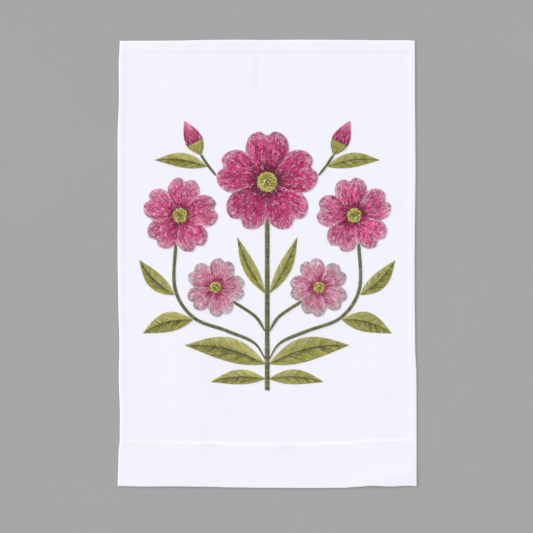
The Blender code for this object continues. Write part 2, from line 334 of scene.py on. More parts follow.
@dataclass(frozen=True)
class Linen:
    """Bleached plain-weave linen, a little slubbed, whiter where it lies double."""

    cloth: Colour = (0.852, 0.853, 0.938)
    hem: Colour = (0.853, 0.854, 0.937)
    # painted highlight: the paler colour along every edge of the cloth
    fold: Colour = (0.88, 0.88, 0.945)
    drawn: Colour = (0.93, 0.93, 0.955)  # painted highlight along the hemstitched row
    pitch: float = 0.52 * MM  # from one thread to the next
    slub_width: float = 1.1 * MM
    slub_length: float = 46 * MM
    slub_detail: float = 3.0
    warp_slubs: float = 0.9  # how strong they are in the warp, against 1 in the weft
    cloud: float = 90 * MM  # size of the broad, faint unevenness
    cloud_detail: float = 2.0
    slub_tone: float = 0.045  # how much lighter or darker slubs make the cloth
    cloud_tone: float = 0.03
    # painted shade between the threads of the weave, lighter on its crossings
    weave_tone: float = 0.03
    depth: float = 0.09 * MM  # of its relief
    relief: float = 0.8  # strength of that
    mean_height: float = 0.5  # shares of the depth
    weave_height: float = 0.35
    slub_height: float = 0.5
    roughness: float = 0.84
    slub_shine: float = 0.1  # how much less rough a slub is
    sheen: float = 0.08
    specular: float = 0.25

    def material(self) -> Material:
        """The weave is sin^2 ridges both ways, of which the upper one changes from crossing to crossing.

        It is (warp + weft + (warp - weft) x warp's sine x weft's sine) / 2.

        Returns:
            The cloth's material. It reads the marks layers, fold and seam of the cloth's points.
        """
        bench = Bench("bleached_linen")
        place = bench.place()
        x, y, _ = bench.axes(place)
        warp_wave = (x * (math.pi / self.pitch)).sin()
        weft_wave = (y * (math.pi / self.pitch)).sin()
        warp, weft = warp_wave * warp_wave, weft_wave * weft_wave
        weave = (warp + weft + (warp - weft) * warp_wave * weft_wave) * 0.5
        fine, far = 1 / self.slub_width, 1 / self.slub_length
        down = bench.noise(place, (fine, far, 0.0), self.slub_detail)
        across = bench.noise(place, (far, fine, 0.0), self.slub_detail)
        slubs = down * self.warp_slubs + across
        broad = bench.noise(place, (1 / self.cloud,) * 3, self.cloud_detail)
        layers, fold, seam = (bench.mark(name) for name in ("layers", "fold", "seam"))
        colour = bench.mixed(layers, self.cloth, self.hem)
        # painted highlight along the edges and along the hemstitched row
        colour = bench.mixed(fold, colour, self.fold)
        colour = bench.mixed(seam, colour, self.drawn)
        # painted shade in the weave: its lower parts darker; slubs and broad patches are the cloth's own tone
        tone = 1.0 + slubs * self.slub_tone + broad * self.cloud_tone + (weave - 0.5) * self.weave_tone
        height = weave * self.weave_height + slubs * self.slub_height + self.mean_height
        varying = {
            "Base Color": bench.scaled(colour, tone),
            "Roughness": self.roughness - slubs * self.slub_shine,
            "Normal": bench.bump(height, self.depth, self.relief),
        }
        return bench.finish(varying, {"Sheen Weight": self.sheen, "Specular IOR Level": self.specular})


@dataclass(frozen=True)
class HemThread:
    """White cotton sewing thread, two-ply."""

    colour: Colour = (0.94, 0.94, 0.955)
    groove: Colour = dye(240, 240, 246)  # painted shade in the groove between two plies
    ply: float = 0.8 * MM  # from one ply to the next along the thread
    slant: float = 2.2  # of the plies, in radians across the thread
    tone: float = 0.97  # painted shade of the groove; a ply is lighter by ply_tone
    ply_tone: float = 0.03
    own_tone: float = 0.03  # how much each stitch's own tone tells
    roughness: float = 0.62
    ply_shine: float = 0.08  # how much less rough a ply is
    depth: float = 0.05 * MM
    relief: float = 0.6
    specular: float = 0.35

    def material(self) -> Material:
        """Painted shade in the grooves between its plies, which are lighter, and a little lighter or darker
        from stitch to stitch.

        Returns:
            The thread's material. It reads the marks along, across and tone.
        """
        bench = Bench("white_cotton_thread")
        ply = bench.twisted(self.ply, self.slant)
        # painted shade between the plies; the stitch's own tone varies at random
        tone = self.tone + ply * self.ply_tone + bench.mark("tone") * self.own_tone
        colour = bench.mixed(ply, self.groove, self.colour)
        varying = {
            "Base Color": bench.scaled(colour, tone),
            "Roughness": self.roughness - ply * self.ply_shine,
            "Normal": bench.bump(ply, self.depth, self.relief),
        }
        return bench.finish(varying, {"Specular IOR Level": self.specular})


@dataclass(frozen=True)
class Rayon:
    """Glossy embroidery thread in a range of shades, with a paler one among them.

    The stops run from the shade at a motif's heart to that at its rim.
    """

    name: str
    stops: tuple[tuple[float, float, float, float], ...]  # a place, and a screen's red, green and blue
    fleck: Colour  # as on a screen
    ply: float = 0.7 * MM  # from one ply to the next along the thread
    slant: float = 2.4  # of the plies, in radians across the thread
    contrast: float = 0.4  # of lighter and darker stitches of one shade
    groove_tone: float = 0.94  # painted shade between two plies; a ply is lighter by ply_tone
    ply_tone: float = 0.1
    ground_dark: float = 0.46  # painted shade: how much darker the padding is between threads
    ground_ply: float = 0.26  # how much less of that painted shade there is under a thread
    roughness: float = 0.4
    tone_shine: float = 0.04  # how much less rough a light stitch is
    ground_rough: float = 0.3  # how much rougher the padding is
    depth: float = 0.04 * MM
    relief: float = 0.5
    specular: float = 0.5
    sheen: float = 0.05

    def material(self) -> Material:
        """Each stitch's shade is looked up in the stops, then lightened or darkened by its own tone; painted
        shade darkens the grooves between plies and the padding between threads.

        Returns:
            The thread's material. It reads the marks shade, fleck, tone, ground, along and across.
        """
        found = bpy.data.materials.get(self.name)
        if found:
            return found
        bench = Bench(self.name)
        shade, fleck, tone, ground = (bench.mark(name) for name in ("shade", "fleck", "tone", "ground"))
        ply = bench.twisted(self.ply, self.slant)
        stops = [(place, dye(*colour)) for place, *colour in self.stops]
        ramp = bench.node("ShaderNodeValToRGB", {"stops": stops}, {"Fac": shade})
        colour = bench.mixed(fleck, ramp.outputs["Color"], dye(*self.fleck))
        # painted shade: darker in the grooves between plies; tone is each stitch's own, at random
        light = (1.0 + tone * self.contrast) * (self.groove_tone + ply * self.ply_tone)
        # painted shade on the padding between threads, less under each thread's ridge
        light = light * (1.0 - ground * (self.ground_dark - ply * self.ground_ply))
        varying = {
            "Base Color": bench.scaled(colour, light),
            "Roughness": self.roughness - tone * self.tone_shine + ground * self.ground_rough,
            "Normal": bench.bump(ply, self.depth, self.relief),
        }
        return bench.finish(varying, {"Specular IOR Level": self.specular, "Sheen Weight": self.sheen})


DEEP_PINK = Rayon(
    "deep_pink_rayon",
    (
        (0.0, 112, 22, 62), (0.14, 152, 26, 80), (0.32, 192, 30, 104), (0.56, 220, 50, 130),
        (0.8, 222, 80, 144), (1.0, 230, 142, 176),
    ),
    (226, 208, 220),
    contrast=0.54,
)
PINK = Rayon(
    "pink_rayon",
    (
        (0.0, 150, 30, 82), (0.2, 198, 42, 110), (0.45, 224, 78, 142), (0.7, 228, 112, 162),
        (1.0, 234, 174, 196),
    ),
    (230, 218, 226),
    contrast=0.54,
)
PALE_PINK = Rayon(
    "pale_pink_rayon",
    (
        (0.0, 184, 52, 110), (0.2, 214, 86, 140), (0.45, 228, 144, 176), (0.7, 231, 186, 202),
        (1.0, 232, 218, 222),
    ),
    (196, 180, 188),
    contrast=0.5,
)
LEAF_GREEN = Rayon(
    "leaf_green_rayon",
    (
        (0.0, 82, 86, 42), (0.2, 126, 127, 60), (0.45, 174, 169, 66), (0.72, 194, 189, 95),
        (1.0, 202, 202, 150),
    ),
    (206, 202, 190),
)
STEM_GREEN = Rayon(
    "stem_green_rayon",
    ((0.0, 78, 82, 46), (0.5, 124, 126, 72), (1.0, 170, 170, 110)),
    (178, 172, 158),
)
EYE_GOLD = Rayon(
    "eye_gold_rayon",
    ((0.0, 96, 96, 40), (0.45, 150, 142, 52), (0.8, 192, 184, 84), (1.0, 220, 210, 132)),
    (220, 210, 166),
)


# Meshes


def added(name: str, data: bpy.types.ID) -> bpy.types.Object:
    """Makes an object of the data and links it to the scene.

    Args:
        name: The object's name.
        data: Its mesh, lamp or camera.

    Returns:
        The object.
    """
    made = bpy.data.objects.new(name, data)
    bpy.context.scene.collection.objects.link(made)
    return made


@dataclass
class Form:
    """Points and faces as whole arrays, and the numbers that the points carry."""

    points: Array  # a row for each point
    corners: Array  # the faces' corners, one face after another
    sizes: Array  # how many corners each face has
    layout: Array  # each corner's place on the piece's own map
    marks: dict[str, Array] = field(default_factory=dict)

    @staticmethod
    def joined(forms: Sequence["Form"]) -> "Form":
        """One form of several, each with a strip of the map as wide as its share of the faces.

        Args:
            forms: The forms to join. They all carry the same marks.

        Returns:
            The joined form.
        """
        first = np.cumsum([0] + [len(form.points) for form in forms])
        weights = np.sqrt([len(form.sizes) for form in forms])
        strips = np.concatenate([[0.0], np.cumsum(weights / weights.sum())])
        layouts = []
        for form, low, high in zip(forms, strips, strips[1:]):
            layouts.append(form.layout * (1.0, high - low) + (0.0, low))
        return Form(
            np.concatenate([form.points for form in forms]),
            np.concatenate([form.corners + start for form, start in zip(forms, first)]),
            np.concatenate([form.sizes for form in forms]),
            np.concatenate(layouts),
            {name: np.concatenate([form.marks[name] for form in forms]) for name in forms[0].marks},
        )

    def piece(self, name: str, material: Material) -> bpy.types.Object:
        """Makes the form an object with its material, its marks and its own map.

        Args:
            name: The object's name.
            material: What it is finished in.

        Returns:
            The object, linked to the scene and riding on the towel.
        """
        mesh = bpy.data.meshes.new(name)
        mesh.vertices.add(len(self.points))
        mesh.vertices.foreach_set("co", self.points.astype(np.float32).ravel())
        mesh.loops.add(len(self.corners))
        mesh.loops.foreach_set("vertex_index", self.corners.astype(np.int32))
        mesh.polygons.add(len(self.sizes))
        mesh.polygons.foreach_set("loop_start", (np.cumsum(self.sizes) - self.sizes).astype(np.int32))
        mesh.update(calc_edges=True)
        mesh.shade_smooth()
        for mark, values in self.marks.items():
            mesh.attributes.new(mark, "FLOAT", "POINT").data.foreach_set("value", values.astype(np.float32))
        own_map = mesh.uv_layers.new(name="OFBake")
        own_map.data.foreach_set("uv", self.layout.astype(np.float32).ravel())
        mesh.materials.append(material)
        made = added(name, mesh)
        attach(made, "root")
        return made


def side_faces(grid: Array, levels: Array) -> Pair:
    """Quads that join each profile of a tube to the next.

    Args:
        grid: The numbers of its points, by profile and point; a ring's first profile comes again last.
        levels: How far up the map each profile lies.

    Returns:
        The quads' corners, and the same corners' places on the map.
    """
    below, above = grid[:-1], grid[1:]
    quads = np.stack([below, np.roll(below, -1, axis=1), np.roll(above, -1, axis=1), above], axis=-1)
    columns = np.arange(grid.shape[1] + 1) / grid.shape[1]
    left, low = np.meshgrid(columns[:-1], levels[:-1])
    right, high = np.meshgrid(columns[1:], levels[1:])
    places = [np.stack(pair, axis=-1) for pair in ((left, low), (right, low), (right, high), (left, high))]
    return quads.reshape(-1, 4), np.stack(places, axis=-2).reshape(-1, 2)


def end_faces(grid: Array, levels: Array) -> Pair:
    """Triangles that close a tube, from its first profile to one pole and from its last to another.

    Args:
        grid: The numbers of its points, by profile and point. The poles' numbers follow them.
        levels: How far up the map each profile lies.

    Returns:
        The triangles' corners, and the same corners' places on the map.
    """
    around = grid.shape[1]
    columns = np.arange(around + 1) / around
    left, right, zero = columns[:-1], columns[1:], np.zeros(around)
    middle = (left + right) / 2
    ahead = np.roll(grid, -1, axis=1)
    first = np.stack([np.full(around, grid.size), ahead[0], grid[0]], axis=-1)
    last = np.stack([grid[-1], ahead[-1], np.full(around, grid.size + 1)], axis=-1)
    fans = (
        ((middle, zero), (right, zero + levels[0]), (left, zero + levels[0])),
        ((left, zero + levels[-1]), (right, zero + levels[-1]), (middle, zero + 1.0)),
    )
    places = [np.stack([np.stack(corner, axis=-1) for corner in fan], axis=-2) for fan in fans]
    return np.concatenate([first, last]), np.concatenate(places).reshape(-1, 2)


def tubes(sections: Array, poles: Array | None, marks: dict[str, Array]) -> Form:
    """Closed tubes, each a closed profile carried along a path.

    A tube has M profiles of K points. Side quads join each profile to the next. Its ends run
    to a pole each, or, with no poles, its last profile joins the first and it is a ring. Seen
    along the path, a profile's points run to the right over the top.

    Args:
        sections: The profiles' points, by tube, profile, point and axis.
        poles: The two end points of each tube, or None for rings.
        marks: Numbers for the points, by tube, or by tube and profile, or by tube, profile
            and point.

    Returns:
        The tubes as one form. Each has a cell of the map, its profiles across it.
    """
    count, rows, around = sections.shape[:3]
    grid = np.arange(rows * around).reshape(rows, around)
    points = sections.reshape(count, rows * around, 3)
    if poles is None:
        quads, places = side_faces(np.concatenate([grid, grid[:1]]), np.arange(rows + 1) / rows)
        corners, sizes = quads.ravel(), np.full(len(quads), 4)
    else:
        levels = np.linspace(END_BAND, 1 - END_BAND, rows)
        quads, places = side_faces(grid, levels)
        fans, fan_places = end_faces(grid, levels)
        corners = np.concatenate([quads.ravel(), fans.ravel()])
        sizes = np.repeat([4, 3], [len(quads), len(fans)])
        places = np.concatenate([places, fan_places])
        points = np.concatenate([points, poles], axis=1)
    each = points.shape[1]
    number = np.arange(count)
    wide = max(1, round(math.sqrt(count)))
    cell = np.stack([number % wide, number // wide], axis=-1)[:, None]
    layout = (cell + CELL_MARGIN + (1 - 2 * CELL_MARGIN) * places) / (wide, math.ceil(count / wide))
    return Form(
        points.reshape(-1, 3),
        (corners + each * number[:, None]).ravel(),
        np.tile(sizes, count),
        layout.reshape(-1, 2),
        {name: spread(values, (count, rows, around), each) for name, values in marks.items()},
    )


def spread(values: Array, shape: tuple[int, int, int], each: int) -> Array:
    """Numbers given by tube, profile or point, laid out for each point; poles take their end's first.

    Args:
        values: The numbers, with 1, 2 or 3 axes.
        shape: How many tubes, profiles and points of a profile there are.
        each: How many points a tube has, its poles included.

    Returns:
        One number for each point.
    """
    count, rows, around = shape
    full = np.broadcast_to(values.reshape(values.shape + (1,) * (3 - values.ndim)), shape)
    laid = full.reshape(count, rows * around)
    if each > rows * around:
        laid = np.concatenate([laid, full[:, 0, :1], full[:, -1, :1]], axis=1)
    return laid.ravel()


# The cloth


class Wave(NamedTuple):
    """A slow wave of the cloth's unevenness: share x sin(its way + bend x sin(the bending wave's way))."""

    share: float
    across: float
    along: float
    phase: float
    bend: float = 0.0
    bend_across: float = 0.0
    bend_along: float = 0.0
    bend_phase: float = 0.0


class Ridge(NamedTuple):
    """A soft ridge where the cloth lifts off: from, to, half-width and height, in mm."""

    x0: float
    y0: float
    x1: float
    y1: float
    width: float
    height: float


class PressedFold(NamedTuple):
    """Cloth that lifts on both sides of a narrow pressed valley, in mm."""

    across: float
    high: float
    low: float
    height: float
    reach: float
    valley: float


# How far the long edges stand outside the nominal width at places down from the top, in mm
DOWN = (0, 30, 67, 115, 150, 240, 262, 305, 365, 400, 450, 478, 498, 534)
LEFT_EDGE = (-1.7, -0.5, -0.8, 0.8, 0.8, 0.8, 0.7, 0.1, -1.3, -0.6, -1.9, -1.7, -0.2, 0.7)
RIGHT_EDGE = (-1.3, -1.2, -1.1, -0.7, -0.5, -1.3, -1.5, -1.4, -0.9, 0.6, 0.8, 0.8, 0.8, 0.8)
# The short edges outside the nominal length, and the seam above its nominal place, in mm
ACROSS = (-178, -148, -110, -72, -43, -5, 42, 90, 109, 124, 147, 167, 178)
TOP_EDGE = (-0.5, -0.4, -0.2, 0.6, 0.9, 0.6, 0.9, 0.7, 0.5, 0.3, 0.2, 0.1, -0.3)
BOTTOM_EDGE = (-1.5, -0.8, -1.0, -0.5, 0.2, 0.7, 0.9, 0.8, -0.7, -1.7, -0.9, -1.8, -1.3)
SEAM_LINE = (0.9, 0.6, 0.3, -0.4, -0.8, -0.9, -0.5, 0.0, 0.9, 1.6, 2.2, 2.5, 2.6)
RIDGES = (
    Ridge(-98, -30, -88, -196, 34, 1.5),
    Ridge(-22, -168, 24, -232, 11, 1.3),
    Ridge(62, -196, 20, -150, 16, 0.8),
    Ridge(112, -262, 172, -250, 13, 1.4),
    Ridge(-120, -246, -72, -266, 12, 0.8),
    Ridge(96, 150, 150, 60, 30, 0.9),
    Ridge(-150, 236, -84, 196, 26, 0.9),
    Ridge(128, -80, 140, -190, 26, 1.0),
)
PRESSED = (
    PressedFold(-11, 262, 186, 0.42, 22, 3.5),
    PressedFold(-14, -158, -200, 0.2, 18, 3.5),
)


WAVES = (
    Wave(1.0, 1.0, 0.3, 0.0, 1.4, 0.0, 0.37, 0.0),
    Wave(1.0, -0.142, 0.71, 0.0, 1.1, 0.43, 0.0, 1.0),
    Wave(0.6, 0.29, 0.29, 2.0),
)


@dataclass(frozen=True)
class Lie:
    """How the cloth lies: its cut, its hems' thickness and its soft folds.

    Places on the cut are across from its left edge and along from its bottom edge.
    """

    width: float = 355.6 * MM
    length: float = 533.8 * MM
    single: float = 1.0 * MM  # one layer of cloth
    doubled: float = 0.22 * MM  # what a hem adds, pressed flat
    turned_in: float = 0.08 * MM  # what the raw edge folded inside the deep hem adds
    side_hem: float = 5.5 * MM
    top_hem: float = 13.0 * MM
    bottom_hem: float = 52.5 * MM
    row_place: float = 51.0 * MM  # middle of the hemstitched row, from the bottom edge
    turned_edge: float = 6.0 * MM
    hem_step: float = 2.6 * MM
    seam_reach: float = 0.4  # how far the seam's waviness reaches, as a share of the deep hem
    settled: float = 0.55  # how much of a soft ridge is left in cloth as thin as this
    lying: float = 0.12 * MM  # cloth that would lift less than this lies flat
    ridge_end: float = 0.55  # height of a ridge at its ends, as a share
    fade_low: float = 30.0  # mm over which a pressed fold fades out at its lower end
    fade_high: float = 8.0

    def lift(self, x: Array, y: Array) -> Array:
        """How far the underside stands off the surface.

        A ridge adds its height times exp(-(distance / width)^2), less towards its ends. A
        pressed fold adds its height times a wide bell less a narrow one.

        Args:
            x, y: Places on the surface.

        Returns:
            The height at each place.
        """
        total = np.zeros(np.broadcast(x, y).shape)
        for row in RIDGES:
            ax, ay = row.x0 * MM, row.y0 * MM
            dx, dy = row.x1 * MM - ax, row.y1 * MM - ay
            share = np.clip(((x - ax) * dx + (y - ay) * dy) / (dx * dx + dy * dy), 0.0, 1.0)
            away = np.hypot(x - ax - share * dx, y - ay - share * dy)
            swell = self.ridge_end + (1 - self.ridge_end) * np.sin(math.pi * share)
            total += row.height * MM * self.settled * bell(away, row.width * MM) * swell
        for row in PRESSED:
            away = np.abs(x / MM - row.across)
            along = smooth((y / MM - row.low) / self.fade_low) * smooth((row.high - y / MM) / self.fade_high)
            total += row.height * MM * (bell(away, row.reach) - bell(away, row.valley)) * along
        return np.maximum(total - self.lying, 0.0)

    def place(self, across: Array, along: Array) -> Pair:
        """Where points of the flat cut lie.

        Args:
            across, along: Places on the cut.

        Returns:
            Their x and their y.
        """
        x, y = across - self.width / 2, along - self.length / 2
        down = (self.length / 2 - y) / MM
        side = np.where(x > 0, between(DOWN, RIGHT_EDGE, down), between(DOWN, LEFT_EDGE, down)) * MM
        lines = (TOP_EDGE, BOTTOM_EDGE, SEAM_LINE)
        top, bottom, seam = (between(ACROSS, line, x / MM) * MM for line in lines)
        end = np.where(y > 0, top, bottom)
        near_seam = bell(along - self.bottom_hem, self.bottom_hem * self.seam_reach)
        return x * (1 + side / (self.width / 2)), y * (1 + end / (self.length / 2)) + seam * near_seam

    def inwards(self, across: Array, along: Array) -> tuple[Array, Array, Array]:
        """How far in from the side hems, the top hem and the deep hem a place is, less than 0 in them."""
        side = np.minimum(across, self.width - across)
        return side - self.side_hem, self.length - along - self.top_hem, along - self.bottom_hem

    def hem(self, across: Array, along: Array) -> Array:
        """1 where the cloth lies double in a hem, 0 where it is single, and a slope between."""
        return np.maximum.reduce([1 - smooth(away / self.hem_step) for away in self.inwards(across, along)])

    def inside(self, across: Array, along: Array) -> Array:
        """Distance from the nearest hem into the single cloth, 0 in the hems."""
        return np.maximum(np.minimum.reduce(self.inwards(across, along)), 0.0)

    def edge(self, across: Array, along: Array) -> Array:
        """Distance from the nearest edge of the cut."""
        return np.minimum.reduce([across, self.width - across, along, self.length - along])

    def thickness(self, across: Array, along: Array) -> Array:
        """Thickness of the cloth: more over the hems, and most over the edge turned in under the deep hem.

        Args:
            across, along: Places on the cut.

        Returns:
            The thickness at each place.
        """
        turned = smooth((along - self.bottom_hem + self.turned_edge + self.hem_step) / self.hem_step)
        turned = turned * (1 - smooth((along - self.bottom_hem) / self.hem_step))
        return self.single + self.doubled * self.hem(across, along) + self.turned_in * turned

    def upper(self, x: Array, y: Array) -> Array:
        """Height of the cloth's face at a place inside the hems."""
        return self.lift(x, y) + self.single


@dataclass
class Cloth:
    """The linen itself, one sheet whose face and underside meet in a rounded fold all round."""

    lie: Lie
    finish: Linen
    cell: float = 2.6 * MM
    fold_round: float = 1.2 * MM  # how far in the rounding of an edge reaches
    edge_lines: Places = (0.0, 0.06, 0.2, 0.45, 0.8, 1.2)  # mm from an edge
    side_lines: Places = (2.4, 4.0, 5.0, 5.5, 6.2, 6.9, 7.5)
    top_lines: Places = (3.4, 6.0, 8.6, 11.0, 12.4, 13.0, 13.7, 14.4, 15.0)
    bottom_lines: Places = (2.6, 4.8, 7.4)
    seam_lines: Places = (44.0, 46.0, 47.2, 48.4, 49.4, 50.2, 51.0, 51.8, 52.6, 53.3, 54.0, 54.7, 55.4)
    under_step: float = 0.3 * MM  # from a hem's underside to single cloth's
    under_fade: float = 8.0 * MM
    ripple: float = 0.05 * MM  # height of the cloth's faint unevenness
    ripple_length: float = 31.0 * MM
    fold_line: float = 1.5 * MM  # width of the painted highlight along an edge
    row_width: float = 1.3 * MM  # of the painted highlight along the hemstitched row
    flat_rim: float = 8.0 * MM  # the unevenness fades out towards the edges
    face_share: float = 0.7  # of the map's width that the face takes

    def lines(self, length: float, near: Places, far: Places, inner: Places) -> Array:
        """Where the grid's lines cross one side of the cloth.

        Args:
            length: The side's length.
            near: Lines wanted at its start, in mm from it.
            far: Lines wanted at its end, in mm from it.
            inner: Lines wanted between, in mm from its start.

        Returns:
            The places: those wanted, and evenly spaced ones between them.
        """
        first = np.array(self.edge_lines + near) * MM
        last = np.array(self.edge_lines + far) * MM
        fixed = np.concatenate([first, np.array(inner) * MM, length - last[::-1]])
        filled = [fixed[:1]]
        for start, end in zip(fixed, fixed[1:]):
            count = max(1, round((end - start) / self.cell))
            filled.append(np.linspace(start, end, count + 1)[1:])
        return np.concatenate(filled)

    def uneven(self, x: Array, y: Array) -> Array:
        """Faint unevenness: the sum of the waves.

        Args:
            x, y: Places on the surface.

        Returns:
            How far each place stands over or under the mean.
        """
        k = TURN / self.ripple_length
        total = np.zeros(x.shape)
        for wave in WAVES:
            bend = np.sin(k * (wave.bend_across * x + wave.bend_along * y) + wave.bend_phase)
            way = k * (wave.across * x + wave.along * y) + wave.phase
            total += wave.share * np.sin(way + wave.bend * bend)
        return self.ripple * total

    def heights(self, across: Array, along: Array) -> Pair:
        """Heights of the face and of the underside.

        The fold is half an ellipse: near an edge, half the thickness shrinks as
        sqrt(1 - (1 - distance / reach)^2).

        Args:
            across, along: Places on the cut.

        Returns:
            The face's heights, and the underside's.
        """
        lie = self.lie
        x, y = lie.place(across, along)
        edge = lie.edge(across, along)
        inner = smooth((edge - self.flat_rim) / self.flat_rim)
        low = np.maximum(lie.lift(x, y) + self.uneven(x, y) * inner, 0.0)
        thick = lie.thickness(across, along)
        half = thick / 2 * np.sqrt(1 - (1 - np.clip(edge / self.fold_round, 0.0, 1.0)) ** 2)
        near_hem = 1 - smooth(lie.inside(across, along) / self.under_fade)
        step = self.under_step * (1 - lie.hem(across, along)) * near_hem
        return low + thick / 2 + half, low + thick / 2 - half + step

    def marks(self, across: Array, along: Array) -> dict[str, Array]:
        """What the linen's finish reads: double cloth, a painted highlight along the edges and a painted
        highlight along the hemstitched row.

        Args:
            across, along: Places on the cut.

        Returns:
            The marks for double cloth, for the painted highlight along the edges and for that along the
            hemstitched row, each from 0 to 1.
        """
        # painted highlight along each edge, fading inwards
        fold = 1 - smooth((self.lie.edge(across, along) - self.fold_round / 2) / self.fold_line)
        # painted highlight along the hemstitched row
        seam = bell(along - self.lie.row_place, self.row_width)
        return {"layers": self.lie.hem(across, along), "fold": fold, "seam": seam}

    def form(self) -> Form:
        """The sheet on a grid of its own cut.

        Returns:
            The closed sheet, its underside's rim being its face's rim.
        """
        columns = self.lines(self.lie.width, self.side_lines, self.side_lines, ())
        rows = self.lines(self.lie.length, self.bottom_lines, self.top_lines, self.seam_lines)
        across, along = np.meshgrid(columns, rows)
        x, y = self.lie.place(across, along)
        face, under = self.heights(across, along)
        core = (slice(1, -1), slice(1, -1))
        grid = np.arange(across.size).reshape(across.shape)
        beneath = grid.copy()
        beneath[core] = across.size + np.arange(grid[core].size).reshape(grid[core].shape)
        cells = np.stack([grid[:-1, :-1], grid[:-1, 1:], grid[1:, 1:], grid[1:, :-1]], axis=-1).reshape(-1, 4)
        turned = cells[:, ::-1]
        faces = np.concatenate([cells, beneath.ravel()[turned]])
        over = np.stack([x, y, face], axis=-1).reshape(-1, 3)
        below = np.stack([x[core], y[core], under[core]], axis=-1).reshape(-1, 3)
        flat = np.stack([across / self.lie.width, along / self.lie.length], axis=-1).reshape(-1, 2)
        face_map = flat[cells.ravel()] * (self.face_share, 1.0)
        under_map = flat[turned.ravel()] * (1 - self.face_share, 1.0) + (self.face_share, 0.0)
        marks = self.marks(across, along)
        return Form(
            np.concatenate([over, below]),
            faces.ravel(),
            np.full(len(faces), 4),
            np.concatenate([face_map, under_map]),
            {name: np.concatenate([mark.ravel(), mark[core].ravel()]) for name, mark in marks.items()},
        )

    def build(self) -> bpy.types.Object:
        """Makes the cloth's piece.

        Returns:
            The piece, which stands for the solid cloth.
        """
        made = self.form().piece("linen_cloth", self.finish.material())
        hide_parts("towel_cloth")
        return made


# Thread


@dataclass
class Stitches:
    """Straight stitches as arrays, a row for each: where the needle came up and where it went down."""

    start: Array
    end: Array
    feet: Array  # heights of what it lies on, by stitch and section
    rise: Array  # of the top of the thread over that
    width: Array
    shares: Places = (0.14, 0.86)  # of the length, where it is full
    section: Places = (0.0, 0.5, 1.0)  # left foot, top and right foot
    offset: float = 97.0  # of its twist, in lengths, so that no two look alike

    def form(self, marks: dict[str, Array]) -> Form:
        """A thread is a tube of three sides, from a pole where it comes up to one where it goes down.

        At each share of its length a section holds its left foot, its top and its right foot.

        Args:
            marks: Numbers for each stitch.

        Returns:
            All the stitches as one form, with the marks along and across added.
        """
        way = self.end - self.start
        length = np.linalg.norm(way[:, :2], axis=1)
        side = np.stack([-way[:, 1], way[:, 0]], axis=1) / length[:, None] * self.width[:, None] / 2
        share = np.array(self.shares)
        middle = self.start[:, None, :2] + way[:, None, :2] * share[None, :, None]
        sections = np.empty((len(way), len(share), 3, 3))
        for point, sign in enumerate((1, 0, -1)):
            sections[:, :, point, :2] = middle + side[:, None] * sign
            sections[:, :, point, 2] = self.feet + (self.rise[:, None] if sign == 0 else 0.0)
        along = length[:, None] * share[None] + length[:, None] * self.offset
        across = np.broadcast_to(np.array(self.section), sections.shape[:3])
        carried = {**marks, "along": along, "across": across}
        return tubes(sections, np.stack([self.start, self.end], axis=1), carried)


